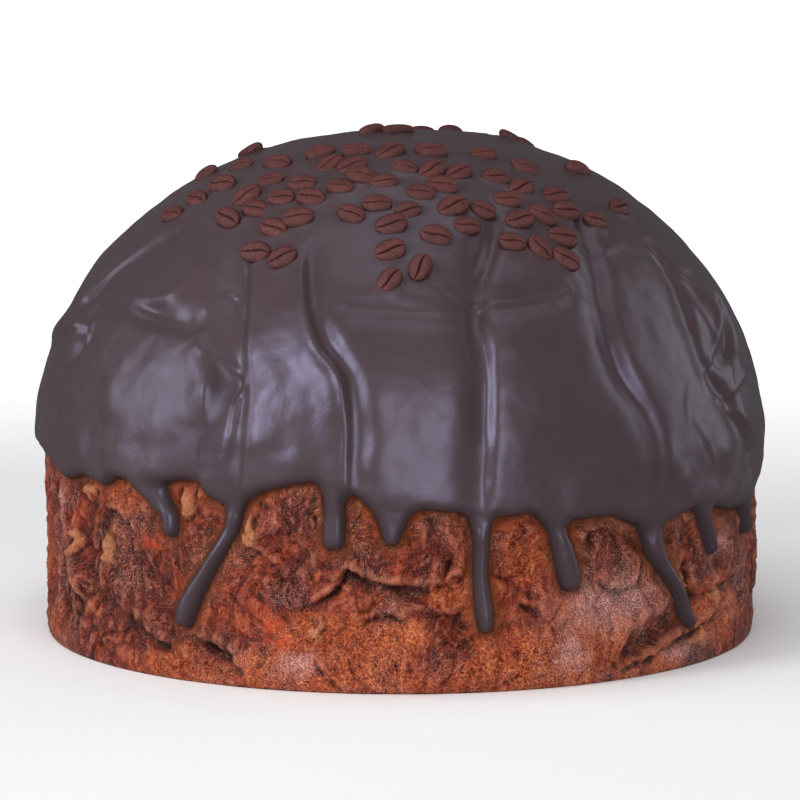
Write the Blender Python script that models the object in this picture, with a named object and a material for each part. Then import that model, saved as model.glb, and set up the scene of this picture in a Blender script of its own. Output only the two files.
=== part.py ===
"""Panettone under a chocolate glaze with coffee beans, as solids in metres with +Z up.

The loaf stands on its flat base at the origin, and its front looks along -Y. An azimuth is counted in
degrees from the front towards +X. A run is a distance up the skin of the loaf from its base: on the wall
it equals the height, and on the dome it follows the curve to the crown.
"""

import math

import bpy
import numpy as np
from mathutils import Matrix, Vector
from mathutils.bvhtree import BVHTree

# The loaf without its glaze
LOAF_RADIUS = 0.1090
LOAF_HEIGHT = 0.1498
WALL_HEIGHT = 0.060  # where the upright wall turns into the dome
DOME_FULLNESS = 0.92  # 1 gives an elliptical dome, less a fuller one
FOOT_RISE = 0.010  # height of the rounded bottom edge
FOOT_INSET = 0.0026  # how far that edge draws in at the base
DOME_HEIGHT = LOAF_HEIGHT - WALL_HEIGHT
DOME_RUN = 0.156  # length of the curve from the wall to the crown
CROWN_RUN = WALL_HEIGHT + DOME_RUN

# The chocolate
GLAZE_GAP = 0.0003
GLAZE_THICKNESS = 0.0023
GLAZE_ROLL = 0.0014  # extra thickness where the chocolate gathered at its lower edge
GLAZE_ROLL_RUN = 0.016  # height over which it gathered
GLAZE_LIP = 0.6  # share of the thickness left at the very edge
DRIP_GAP = 0.0006  # clear space behind a drip
DRIP_THICKNESS = 0.0027
DRIP_CROWN = 0.0004  # how much further its middle stands out
DRIP_SHOULDER = 0.72  # share of the half width where its front turns to the sides
DRIP_SLIM = 0.0022  # half width below which it is thinner
DRIP_ROOT = 0.3  # share of the thickness at its top, inside the chocolate
DRIP_OVERLAP = 0.006  # height by which it starts above the edge
DRIP_CLEARANCE = 0.0022  # how far to each side a drip stays clear of the crags

# The meshes: columns round the dome, halved near the crown and doubled on the wall, and rows up both
COLUMNS = 72
WALL_COLUMNS = 144
WALL_ROWS = 8
DOME_ROWS = 7
CAP_ROWS = 4
CAP_START = 0.62  # share of the dome below the halved columns
FOOT_ROWS = (0.0, 0.0016, 0.0050)  # heights of the lowest rows, round the bottom edge

# Lower edge of the chocolate: azimuth and height, from the left of the front to its right
FRONT_EDGE = (
    (-82, 0.058),
    (-67, 0.053),
    (-54, 0.056),
    (-46, 0.058),
    (-34, 0.060),
    (-28, 0.055),
    (-20, 0.061),
    (-12, 0.063),
    (-6, 0.058),
    (-1, 0.055),
    (4, 0.055),
    (16, 0.053),
    (24, 0.049),
    (33, 0.050),
    (41, 0.045),
    (53, 0.048),
    (66, 0.044),
    (78, 0.046),
)
BACK_EDGE_HEIGHT = 0.052
BACK_EDGE_SWING = 0.005
BACK_EDGE_STEP = 12  # degrees between the points of the edge behind
BACK_EDGE_SEED = 5

# Drips: the azimuth, height and half width at stations down each one
FRONT_DRIPS = (
    ((-39, 0.060, 0.0034), (-38.5, 0.052, 0.0027), (-38, 0.045, 0.0026), (-38, 0.0425, 0.0014)),
    (
        (-26, 0.060, 0.0050),
        (-27, 0.052, 0.0026),
        (-28, 0.044, 0.0021),
        (-31, 0.034, 0.0022),
        (-34, 0.025, 0.0028),
        (-36, 0.018, 0.0031),
        (-36.5, 0.0150, 0.0016),
    ),
    ((-10, 0.064, 0.0042), (-10, 0.055, 0.0034), (-10, 0.047, 0.0035), (-10, 0.0425, 0.0018)),
    ((-1.5, 0.061, 0.0076), (-1.5, 0.054, 0.0052), (-1, 0.049, 0.0036), (-0.5, 0.0455, 0.0014)),
    (
        (12, 0.060, 0.0046),
        (12, 0.051, 0.0030),
        (12, 0.042, 0.0023),
        (12.5, 0.033, 0.0023),
        (13, 0.025, 0.0028),
        (13.5, 0.019, 0.0027),
        (13.5, 0.0160, 0.0014),
    ),
    (
        (25, 0.056, 0.0030),
        (25, 0.046, 0.0025),
        (26, 0.038, 0.0030),
        (27, 0.032, 0.0033),
        (27, 0.0285, 0.0016),
    ),
    (
        (44, 0.052, 0.0048),
        (43, 0.043, 0.0036),
        (44, 0.035, 0.0034),
        (47, 0.029, 0.0026),
        (50, 0.022, 0.0025),
        (52, 0.015, 0.0028),
        (53, 0.0110, 0.0014),
    ),
    ((57, 0.053, 0.0044), (57.5, 0.044, 0.0034), (58, 0.036, 0.0029), (58, 0.0315, 0.0015)),
    ((73, 0.051, 0.0036), (75, 0.042, 0.0026), (76, 0.034, 0.0023), (76, 0.0315, 0.0013)),
)
BACK_DRIPS = 9
BACK_DRIP_REACH = (0.008, 0.036)  # shortest and longest drip behind, below the edge
BACK_DRIP_HALF_WIDTH = 0.0028
BACK_DRIP_SLANT = 5  # most degrees that it slants
BACK_DRIP_FORM = ((0, 1.6), (0.35, 0.92), (0.68, 0.90), (0.92, 1.05), (1, 0.5))  # share down, share of width
BACK_DRIP_SEED = 21

# Furrows and creases of the dome: depth (below zero for a ridge), half width, then azimuths and heights
FRONT_FURROWS = (
    (0.0034, 0.0058, (-38, 0.132), (-31, 0.113), (-28, 0.097), (-26, 0.080), (-26, 0.062), (-27, 0.048)),
    (-0.0020, 0.0055, (-36, 0.100), (-32, 0.090), (-32, 0.075)),
    (-0.0022, 0.0050, (-20, 0.124), (-16, 0.106), (-12, 0.096), (-9, 0.084), (-9, 0.062)),
    (0.0026, 0.0048, (-16, 0.120), (-12, 0.106), (-8, 0.096), (-5, 0.084), (-5, 0.066)),
    (0.0046, 0.0052, (24, 0.131), (18, 0.122), (14, 0.110), (14, 0.094), (13, 0.074), (12, 0.052)),
    (-0.0014, 0.0040, (20, 0.112), (19, 0.095), (18, 0.080), (17, 0.064)),
    (0.0020, 0.0040, (-10, 0.111), (-2, 0.110), (8, 0.109)),
    (0.0016, 0.0036, (0, 0.119), (6, 0.117), (13, 0.112)),
    (0.0020, 0.0040, (15, 0.112), (24, 0.112), (35, 0.115)),
    (0.0042, 0.0062, (53, 0.134), (46, 0.125), (40, 0.109), (39, 0.092), (43, 0.074), (43, 0.046)),
    (0.0030, 0.0052, (68, 0.122), (65, 0.112), (61, 0.098), (61, 0.088), (66, 0.077), (72, 0.060)),
    (-0.0022, 0.0046, (74, 0.112), (71, 0.100), (70, 0.088)),
    (0.0030, 0.0050, (80, 0.100), (75, 0.092), (66, 0.088)),
    (0.0028, 0.0050, (-60, 0.125), (-68, 0.113), (-76, 0.103), (-80, 0.094)),
    (0.0026, 0.0048, (-64, 0.110), (-69, 0.102), (-67, 0.093), (-70, 0.082)),
    (-0.0018, 0.0044, (-92, 0.088), (-82, 0.095), (-73, 0.098)),
    (0.0022, 0.0042, (-57, 0.105), (-48, 0.104), (-38, 0.102)),
)
BACK_FURROWS = 8
BACK_FURROW_DEPTH = (0.0022, 0.0044)
BACK_FURROW_HALF_WIDTH = (0.0045, 0.0065)
BACK_FURROW_HEIGHTS = (0.130, 0.113, 0.094, 0.074, 0.052)
BACK_FURROW_WANDER = 7  # most degrees that one wanders from upright
BACK_CREASE_DEPTH = 0.0021
BACK_CREASE_HALF_WIDTH = 0.0042
BACK_CREASE_HEIGHTS = (0.092, 0.116)
BACK_CREASE_LENGTHS = (9, 16)  # in degrees
BACK_FURROW_SEED = 11
BACK_FIRST = 96  # azimuths where the back begins and ends
BACK_LAST = 264

# Folds and hollows of the torn crust below the chocolate, in the same form
FRONT_FOLDS = (
    (0.0030, 0.0030, (-14, 0.022), (-9, 0.032), (2, 0.030), (8, 0.030), (10, 0.020)),
    (0.0034, 0.0036, (36, 0.004), (44, 0.011), (50, 0.016), (60, 0.024)),
    (-0.0020, 0.0040, (30, 0.008), (40, 0.018), (52, 0.024)),
    (0.0026, 0.0040, (-20, 0.052), (-18, 0.040), (-20, 0.028)),
    (0.0026, 0.0036, (20, 0.044), (19, 0.034), (21, 0.022)),
    (0.0024, 0.0040, (-62, 0.048), (-60, 0.034), (-56, 0.022), (-48, 0.014)),
    (0.0024, 0.0036, (66, 0.040), (64, 0.030), (68, 0.020)),
    (-0.0022, 0.0044, (-70, 0.046), (-66, 0.030), (-62, 0.014)),
)
CRAG_COUNT = 190
CRAG_DEPTH = 0.0031
CRAG_HALF_WIDTH = (0.0036, 0.0080)
CRAG_STRETCH = 1.9  # how much taller than wide a crag is
CRAG_LOWEST = 0.004
CRAG_FADE = 0.004  # height over which the crags die out under the chocolate
CRAG_SEED = 8

# Soft unevenness of the whole loaf
LUMP_COUNT = 60
LUMP_DEPTH = 0.0011
LUMP_RADIUS = (0.011, 0.024)
LUMP_LOWEST = 0.020
LUMP_SEED = 3
OUT_OF_ROUND = 0.0007
CROWN_CALM = 0.16  # share of the dome round the crown where relief dies out

# Coffee beans on the crown, flat side up
BEAN_LENGTH = 0.0098
BEAN_WIDTH = 0.0074
BEAN_PROUD = 0.0027  # height of the flat side above the chocolate
BEAN_BED = 0.0005  # depth of its lower rim in the chocolate
BEAN_SUNK = 0.0012  # depth of its lowest point
BEAN_CREASE = 0.0009  # depth of the crease along the flat side
BEAN_TOP = 0.80  # width of its flat top over its full width
BEAN_DOME = 0.62  # the same where the domed side is up
BEAN_DOME_HEIGHT = 0.0034
BEAN_SIDES = 7
BEAN_COUNT = 106
BEAN_SPACING = 0.0088
BEAN_FIELD = 0.069  # radius of the strewn patch, seen from above
BEAN_FIELD_SWING = 0.004
BEAN_TURNED = 0.1  # share that lie with the domed side up
BEAN_TIP = 7  # degrees that a bean tips at random
BEAN_UNEVEN = 0.1  # share by which sizes differ
BEAN_TRIES = 6000
BEAN_PLACE_SEED = 42
BEAN_TURN_SEED = 77
# Beans of the three tongues that run down the front, and of the two ends of the patch: azimuth and radius
TONGUE_BEANS = (
    (-25, 0.080),
    (-32, 0.077),
    (-35, 0.071),
    (-2, 0.077),
    (-2, 0.085),
    (4, 0.082),
    (27, 0.075),
    (33, 0.077),
    (38, 0.079),
    (-78, 0.071),
    (78, 0.070),
    (61, 0.071),
)

RAY_START = 0.02  # distance outside the plain skin from which a solid's surface is sought
NORMAL_STEP = 0.0002


def profile(run):
    """Radius and height of the plain loaf at a run."""
    swing = np.clip((run - WALL_HEIGHT) / DOME_RUN, 0, 1) * math.pi / 2
    foot = np.clip(1 - run / FOOT_RISE, 0, 1)
    radius = LOAF_RADIUS * np.maximum(np.cos(swing), 0) ** DOME_FULLNESS
    radius = radius - FOOT_INSET * (1 - np.sqrt(1 - foot**2))
    height = np.minimum(run, WALL_HEIGHT) + DOME_HEIGHT * np.sin(swing)
    return radius, height


def run_at_height(height):
    """The run at which the plain loaf reaches a height."""
    rise = np.clip((height - WALL_HEIGHT) / DOME_HEIGHT, 0, 1)
    return np.minimum(height, WALL_HEIGHT) + np.arcsin(rise) / (math.pi / 2) * DOME_RUN


def run_at_radius(radius):
    """The run on the dome at which the plain loaf has a radius."""
    swing = np.arccos(np.clip(radius / LOAF_RADIUS, 0, 1) ** (1 / DOME_FULLNESS))
    return WALL_HEIGHT + swing / (math.pi / 2) * DOME_RUN


def skin(azimuth, run, lift=0.0):
    """Points of the plain loaf at azimuths and runs, moved out by lift along its normal."""
    radius, height = profile(run)
    low_radius, low_height = profile(np.maximum(run - NORMAL_STEP, 0))
    high_radius, high_height = profile(np.minimum(run + NORMAL_STEP, CROWN_RUN))
    tilt = np.arctan2(low_radius - high_radius, high_height - low_height)
    out = radius + lift * np.cos(tilt)
    turn = np.radians(azimuth)
    return np.stack([out * np.sin(turn), -out * np.cos(turn), height + lift * np.sin(tilt)], axis=-1)


def smooth_line(stations, steps=4):
    """More stations on a line, by a Catmull-Rom curve through the given ones."""
    given = np.array(stations, float)
    padded = np.vstack([2 * given[0] - given[1], given, 2 * given[-1] - given[-2]])
    share = np.linspace(0, 1, steps, endpoint=False)[:, None]
    pieces = []
    for before, start, end, after in zip(padded, padded[1:], padded[2:], padded[3:]):
        straight = (end - before) * share
        bend = (2 * before - 5 * start + 4 * end - after) * share**2
        twist = (3 * start - before - 3 * end + after) * share**3
        pieces.append(start + 0.5 * (straight + bend + twist))
    return np.vstack(pieces + [given[-1:]])


def line_relief(points, depth, half_width, stations):
    """Relief of one furrow, or ridge where the depth is negative, that fades at both ends."""
    line = smooth_line(stations)
    ends = skin(line[:, 0], run_at_height(line[:, 1]))
    nearest = np.full(len(points), np.inf)
    place = np.zeros(len(points))
    for number, (start, end) in enumerate(zip(ends[:-1], ends[1:])):
        along = end - start
        share = np.clip((points - start) @ along / (along @ along), 0, 1)
        distance = np.linalg.norm(points - start - share[:, None] * along, axis=1)
        place = np.where(distance < nearest, (number + share) / (len(ends) - 1), place)
        nearest = np.minimum(distance, nearest)
    fade = np.sin(math.pi * np.clip(place, 0.04, 0.96)) ** 0.4
    return -depth * fade * np.exp(-((nearest / half_width) ** 2))


def back_furrows():
    """Furrows down the back like those of the front, with a crease running off each."""
    draw = np.random.default_rng(BACK_FURROW_SEED)
    furrows = []
    spacing = (BACK_LAST - BACK_FIRST) / BACK_FURROWS
    for number in range(BACK_FURROWS):
        azimuth = BACK_FIRST + (number + 0.5) * spacing + draw.uniform(-0.25, 0.25) * spacing
        wander = draw.uniform(-BACK_FURROW_WANDER, BACK_FURROW_WANDER, len(BACK_FURROW_HEIGHTS))
        stations = [(azimuth + shift, height) for shift, height in zip(wander, BACK_FURROW_HEIGHTS)]
        furrows.append((draw.uniform(*BACK_FURROW_DEPTH), draw.uniform(*BACK_FURROW_HALF_WIDTH), *stations))
        height = draw.uniform(*BACK_CREASE_HEIGHTS)
        length = draw.uniform(*BACK_CREASE_LENGTHS)
        crease = [(azimuth + share * length, height) for share in (0, 0.5, 1)]
        furrows.append((BACK_CREASE_DEPTH, BACK_CREASE_HALF_WIDTH, *crease))
    return furrows


def edge_line():
    """Azimuths and heights of the chocolate's lower edge, once round the loaf."""
    draw = np.random.default_rng(BACK_EDGE_SEED)
    behind = []
    for azimuth in range(BACK_FIRST, BACK_LAST, BACK_EDGE_STEP):
        behind.append((azimuth, BACK_EDGE_HEIGHT + draw.uniform(-BACK_EDGE_SWING, BACK_EDGE_SWING)))
    return np.array(FRONT_EDGE + tuple(behind))


def edge_height(azimuth):
    """Height of the chocolate's lower edge."""
    line = edge_line()
    return np.interp(azimuth, line[:, 0], line[:, 1], period=360)


def scattered_relief(points, seed, count, depth, radii, heights, stretch=1.0):
    """Relief of seeded soft bumps and dents between two heights, stretched up and down the skin."""
    draw = np.random.default_rng(seed)
    total = np.zeros(len(points))
    for _ in range(count):
        centre = skin(draw.uniform(0, 360), run_at_height(draw.uniform(*heights)))
        radius = draw.uniform(*radii)
        height = depth * draw.uniform(-1, 1)
        apart = points - centre
        apart[:, 2] /= stretch
        total += height * np.exp(-((np.linalg.norm(apart, axis=1) / radius) ** 2))
    return total


def relief(azimuth, run):
    """How far the skin of the real loaf stands out from the plain one."""
    points = skin(azimuth, run)
    total = OUT_OF_ROUND * (np.cos(np.radians(2 * azimuth + 40)) + np.cos(np.radians(3 * azimuth)))
    for depth, half_width, *stations in (*FRONT_FURROWS, *back_furrows()):
        total += line_relief(points, depth, half_width, stations)
    heights = (LUMP_LOWEST, LOAF_HEIGHT)
    total += scattered_relief(points, LUMP_SEED, LUMP_COUNT, LUMP_DEPTH, LUMP_RADIUS, heights)
    calm = np.clip((CROWN_RUN - run) / (CROWN_CALM * DOME_RUN), 0, 1)
    total *= calm
    heights = (CRAG_LOWEST, WALL_HEIGHT)
    sizes = CRAG_HALF_WIDTH
    crags = scattered_relief(points, CRAG_SEED, CRAG_COUNT, CRAG_DEPTH, sizes, heights, CRAG_STRETCH)
    for depth, half_width, *stations in FRONT_FOLDS:
        crags += line_relief(points, depth, half_width, stations)
    below_edge = np.clip((edge_height(azimuth) - run) / CRAG_FADE, 0, 1)
    total += crags * below_edge
    return total * np.clip(run / FOOT_RISE, 0, 1)


def ring(azimuths, run, lift):
    """One row of the mesh: points at azimuths, with the relief and a lift, at a run that may vary."""
    run = np.broadcast_to(run, azimuths.shape)
    return skin(azimuths, run, relief(azimuths, run) + lift)


def bridge(lower, upper):
    """Faces between two rows of vertex numbers, of which the upper may have half as many."""
    faces = []
    count = len(lower)
    if len(upper) == count:
        for here in range(count):
            after = (here + 1) % count
            faces.append((lower[here], lower[after], upper[after], upper[here]))
        return faces
    for here in range(len(upper)):
        left, middle, right = (2 * here, 2 * here + 1, (2 * here + 2) % count)
        after = (here + 1) % len(upper)
        faces.append((lower[left], lower[middle], upper[here]))
        faces.append((lower[middle], lower[right], upper[after], upper[here]))
    return faces


def fan(row, centre):
    """Triangles from a row to one vertex inside it."""
    return [(here, after, centre) for here, after in zip(row, row[1:] + row[:1])]


def azimuths_of(columns):
    return np.arange(columns) * 360 / columns


def dome_rows():
    """Azimuths and runs of the rows from the chocolate's edge to the crown."""
    azimuths = azimuths_of(COLUMNS)
    edge = edge_height(azimuths)
    rows = []
    for share in np.linspace(0, CAP_START, DOME_ROWS + 1):
        rows.append((azimuths, edge + share * (CROWN_RUN - edge)))
    for share in np.linspace(CAP_START, 1, CAP_ROWS + 2)[1:-1]:
        run = edge[::2] + share * (CROWN_RUN - edge[::2])
        rows.append((azimuths[::2], run))
    return rows


def new_object(name, points, faces, materials, collection=None):
    mesh = bpy.data.meshes.new(name)
    mesh.from_pydata([tuple(point) for point in points], [], faces)
    for material in materials:
        mesh.materials.append(material)
    mesh.shade_smooth()
    mesh.set_sharp_from_angle(angle=math.radians(50))
    made = bpy.data.objects.new(name, mesh)
    (collection or bpy.context.scene.collection).objects.link(made)
    return made


def triangulate(faces):
    """Quads split the same way everywhere, so that two sheets with the same rows nest."""
    split = []
    for face in faces:
        split.append(tuple(face[:3]))
        if len(face) == 4:
            split.append((face[0], face[2], face[3]))
    return split


def sheet(rows, lifts):
    """Points, faces and rows of vertex numbers of an open sheet that closes at the crown."""
    points = []
    numbers = []
    for (azimuths, run), lift in zip(rows, lifts):
        first = len(points)
        points.extend(ring(azimuths, run, lift))
        numbers.append(list(range(first, len(points))))
    crown = len(points)
    points.extend(skin(np.zeros(1), np.full(1, CROWN_RUN), lifts[-1]))
    faces = []
    for lower, upper in zip(numbers, numbers[1:]):
        faces.extend(bridge(lower, upper))
    faces.extend(fan(numbers[-1], crown))
    return points, triangulate(faces), numbers


def build_bread(crust):
    """The whole loaf: flat base, rounded foot, craggy wall, and the dome that the chocolate covers."""
    azimuths = azimuths_of(WALL_COLUMNS)
    edge = edge_height(azimuths)
    rows = [(azimuths, np.full(WALL_COLUMNS, height)) for height in FOOT_ROWS]
    for share in np.linspace(0, 1, WALL_ROWS - len(FOOT_ROWS) + 2)[1:-1]:
        rows.append((azimuths, FOOT_ROWS[-1] + share * (edge - FOOT_ROWS[-1])))
    rows.extend(dome_rows())
    points, faces, numbers = sheet(rows, [0.0] * len(rows))
    centre = len(points)
    points.append((0.0, 0.0, 0.0))
    faces.extend(fan(numbers[0][::-1], centre))
    return new_object("bread", points, faces, [crust])


def build_shell(materials):
    """The chocolate without drips and beans: two sheets that meet along the lower edge."""
    rows = dome_rows()
    inner, inner_faces, inner_rows = sheet(rows, [GLAZE_GAP] * len(rows))
    lifts = []
    for _, run in rows:
        gathered = np.clip(1 - (run - rows[0][1][:: COLUMNS // len(run)]) / GLAZE_ROLL_RUN, 0, 1)
        lifts.append(GLAZE_GAP + GLAZE_THICKNESS + GLAZE_ROLL * np.sin(math.pi * gathered))
    lifts[0] = np.full(COLUMNS, GLAZE_GAP + GLAZE_LIP * GLAZE_THICKNESS)
    lifts[-1] = GLAZE_GAP + GLAZE_THICKNESS
    outer, outer_faces, outer_rows = sheet(rows, lifts)
    first = len(outer)
    faces = list(outer_faces)
    faces.extend(tuple(first + number for number in face[::-1]) for face in inner_faces)
    inner_edge = [first + number for number in inner_rows[0]]
    faces.extend(triangulate(bridge(inner_edge, outer_rows[0])))
    return new_object("glaze", outer + inner, faces, materials)


def tree_of(solid):
    mesh = solid.data
    faces = [tuple(polygon.vertices) for polygon in mesh.polygons]
    return BVHTree.FromPolygons([vertex.co for vertex in mesh.vertices], faces)


def seat(tree, azimuth, run):
    """Lift of a faceted solid above the plain skin, found by a ray from outside."""
    start = Vector(skin(azimuth, run, RAY_START))
    inward = Vector(skin(azimuth, run)) - start
    distance = tree.ray_cast(start, inward)[3]
    return RAY_START - distance


def clear_lift(tree, azimuth, height):
    """Highest seat round a place, so that a drip clears the crags beside it."""
    spread = math.degrees(DRIP_CLEARANCE / LOAF_RADIUS)
    lifts = []
    for side in (-1, 0, 1):
        for rise in (-1, 0, 1):
            run = run_at_height(height + rise * DRIP_CLEARANCE)
            lifts.append(seat(tree, azimuth + side * spread, run))
    return max(lifts)


def build_drip(name, stations, bread_tree, material, collection):
    """A drip with a flat back and a rounded front, through its stations from top to tip."""
    points = []
    faces = []
    rows = []
    line = smooth_line(stations, 2)
    for number, (azimuth, height, half_width) in enumerate(line):
        base = clear_lift(bread_tree, azimuth, height) + DRIP_GAP
        front = base + DRIP_THICKNESS * (min(1, half_width / DRIP_SLIM) if number else DRIP_ROOT)
        ahead = line[min(number + 1, len(line) - 1)]
        behind = line[max(number - 1, 0)]
        fall = behind[1] - ahead[1]
        slant = math.radians(ahead[0] - behind[0]) * LOAF_RADIUS
        across = fall / math.hypot(fall, slant)
        upward = slant / math.hypot(fall, slant)
        places = [(-1, base), (0, base), (1, base)]
        places += [(DRIP_SHOULDER, front), (0, front + DRIP_CROWN), (-DRIP_SHOULDER, front)]
        rows.append(list(range(len(points), len(points) + len(places))))
        for side, lift in places:
            turn = math.degrees(side * half_width * across / LOAF_RADIUS)
            run = run_at_height(height + side * half_width * upward)
            points.append(skin(azimuth + turn, run, lift))
    for upper, lower in zip(rows, rows[1:]):
        faces.extend(triangulate(bridge(upper, lower)))
    faces.append(rows[0][::-1])
    faces.append(rows[-1])
    return new_object(name, points, faces, [material], collection)


def back_drips():
    """Seeded drips round the back, slanting a little as they run down."""
    draw = np.random.default_rng(BACK_DRIP_SEED)
    spacing = (BACK_LAST - BACK_FIRST) / BACK_DRIPS
    drips = []
    for number in range(BACK_DRIPS):
        azimuth = BACK_FIRST + (number + 0.5) * spacing + draw.uniform(-0.2, 0.2) * spacing
        top = float(edge_height(azimuth)) + DRIP_OVERLAP
        fall = DRIP_OVERLAP + draw.uniform(*BACK_DRIP_REACH)
        slant = draw.uniform(-BACK_DRIP_SLANT, BACK_DRIP_SLANT)
        stations = []
        for share, width in BACK_DRIP_FORM:
            stations.append((azimuth + slant * share, top - fall * share, width * BACK_DRIP_HALF_WIDTH))
        drips.append(stations)
    return drips


def seen_from_above(azimuth, radius):
    return Vector((radius * math.sin(math.radians(azimuth)), -radius * math.cos(math.radians(azimuth))))


def bean_places():
    """Azimuth and radius of each bean: the tongues first, then a seeded scatter that keeps its distance."""
    draw = np.random.default_rng(BEAN_PLACE_SEED)
    places = list(TONGUE_BEANS)
    taken = [seen_from_above(*place) for place in places]
    for _ in range(BEAN_TRIES):
        azimuth = draw.uniform(-180, 180)
        radius = (BEAN_FIELD + 2 * BEAN_FIELD_SWING) * math.sqrt(draw.uniform(0, 1))
        swing = math.sin(math.radians(3 * azimuth + 20)) + math.sin(math.radians(7 * azimuth))
        spot = seen_from_above(azimuth, radius)
        inside = radius < BEAN_FIELD + BEAN_FIELD_SWING * swing
        free = min((spot - other).length for other in taken) > BEAN_SPACING
        if inside and free:
            taken.append(spot)
            places.append((azimuth, radius))
        if len(places) == BEAN_COUNT:
            break
    return places


def bean_points(turned_over):
    """Points and faces of a bean in the plane z = 0: two oval rings, a point below and one on top."""
    angles = np.arange(BEAN_SIDES) * 2 * math.pi / BEAN_SIDES
    oval = np.stack([BEAN_LENGTH / 2 * np.cos(angles), BEAN_WIDTH / 2 * np.sin(angles)], axis=1)
    shoulder = BEAN_DOME if turned_over else BEAN_TOP
    points = [(x, y, -BEAN_BED) for x, y in oval]
    points.extend((shoulder * x, shoulder * y, BEAN_PROUD) for x, y in oval)
    points.append((0, 0, -BEAN_SUNK))
    lower = list(range(BEAN_SIDES))
    upper = list(range(BEAN_SIDES, 2 * BEAN_SIDES))
    faces = triangulate(bridge(lower, upper))
    faces.extend(fan(lower[::-1], 2 * BEAN_SIDES))
    points.append((0, 0, BEAN_DOME_HEIGHT if turned_over else BEAN_PROUD - BEAN_CREASE))
    faces.extend(fan(upper, 2 * BEAN_SIDES + 1))
    return points, faces


def build_beans(shell_tree, materials, collection):
    """The beans, each seated on the chocolate and turned and tipped by a seeded draw."""
    draw = np.random.default_rng(BEAN_TURN_SEED)
    for number, (azimuth, radius) in enumerate(bean_places()):
        run = float(run_at_radius(radius))
        lift = seat(shell_tree, azimuth, run)
        spot = Vector(skin(azimuth, run, lift))
        normal = Vector(skin(azimuth, run, RAY_START)) - Vector(skin(azimuth, run))
        turn = Matrix.Rotation(draw.uniform(0, 2 * math.pi), 4, "Z")
        tip = Matrix.Rotation(math.radians(draw.uniform(-BEAN_TIP, BEAN_TIP)), 4, "X")
        size = 1 + BEAN_UNEVEN * draw.uniform(-1, 1)
        stand = normal.to_track_quat("Z", "Y").to_matrix().to_4x4()
        place = Matrix.Translation(spot) @ stand @ turn @ tip @ Matrix.Scale(size, 4)
        points, faces = bean_points(draw.uniform(0, 1) < BEAN_TURNED)
        bean = new_object(f"bean_{number}", points, faces, materials, collection)
        bean.data.transform(place)
        bean.data.polygons.foreach_set("material_index", [1] * len(faces))


def fuse(target, collection):
    """One union of the target and all that is in the collection, applied, with its objects removed."""
    union = target.modifiers.new("fuse", "BOOLEAN")
    union.operation = "UNION"
    union.operand_type = "COLLECTION"
    union.collection = collection
    union.solver = "MANIFOLD"
    graph = bpy.context.evaluated_depsgraph_get()
    joined = bpy.data.meshes.new_from_object(target.evaluated_get(graph))
    target.modifiers.clear()
    target.data = joined
    for piece in list(collection.objects):
        bpy.data.objects.remove(piece)
    bpy.data.collections.remove(collection)


def new_material(name, colour, roughness, coat=0.0):
    """An opaque food surface: colour in linear light, roughness and a glossy coat."""
    material = bpy.data.materials.new(name)
    material.use_nodes = True
    surface = material.node_tree.nodes["Principled BSDF"]
    surface.inputs["Base Color"].default_value = (*colour, 1)
    surface.inputs["Roughness"].default_value = roughness
    surface.inputs["Metallic"].default_value = 0
    surface.inputs["Coat Weight"].default_value = coat
    material.diffuse_color = (*colour, 1)
    return material


def main():
    for leftover in list(bpy.data.objects):
        bpy.data.objects.remove(leftover)
    crust = new_material("crust", (0.205, 0.065, 0.045), 0.55)
    chocolate = new_material("chocolate", (0.085, 0.060, 0.068), 0.35, 0.3)
    bean = new_material("bean", (0.115, 0.048, 0.050), 0.6)
    bread = build_bread(crust)
    glaze = build_shell([chocolate, bean])
    stuck_on = bpy.data.collections.new("stuck_on")
    bpy.context.scene.collection.children.link(stuck_on)
    bread_tree = tree_of(bread)
    for number, stations in enumerate((*FRONT_DRIPS, *back_drips())):
        build_drip(f"drip_{number}", stations, bread_tree, chocolate, stuck_on)
    build_beans(tree_of(glaze), [chocolate, bean], stuck_on)
    fuse(glaze, stuck_on)


main()
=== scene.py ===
# Looks of the panettone: crust, chocolate glaze with its drips, and coffee beans. Metres, +Z up.
# An azimuth counts degrees from the front (-Y) towards +X. A run is a distance up the loaf's skin: on the
# wall it equals the height, and on the dome it follows the curve to the crown.
import itertools
import math

import bpy
import numpy as np
from mathutils import Matrix, Vector


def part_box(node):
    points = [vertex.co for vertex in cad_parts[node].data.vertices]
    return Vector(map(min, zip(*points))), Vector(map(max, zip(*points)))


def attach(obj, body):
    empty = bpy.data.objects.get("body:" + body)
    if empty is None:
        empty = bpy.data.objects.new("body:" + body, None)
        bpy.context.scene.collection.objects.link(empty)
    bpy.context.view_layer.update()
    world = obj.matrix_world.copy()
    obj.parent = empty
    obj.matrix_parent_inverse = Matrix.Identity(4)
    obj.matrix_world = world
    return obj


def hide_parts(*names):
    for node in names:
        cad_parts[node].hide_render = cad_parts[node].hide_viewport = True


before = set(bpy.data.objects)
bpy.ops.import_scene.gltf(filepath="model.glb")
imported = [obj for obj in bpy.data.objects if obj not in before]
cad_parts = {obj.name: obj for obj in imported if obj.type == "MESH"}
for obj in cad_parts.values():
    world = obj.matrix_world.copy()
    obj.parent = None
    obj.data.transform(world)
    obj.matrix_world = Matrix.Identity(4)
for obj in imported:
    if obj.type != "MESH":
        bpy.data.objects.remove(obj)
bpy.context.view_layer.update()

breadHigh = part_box("bread")[1]

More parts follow.
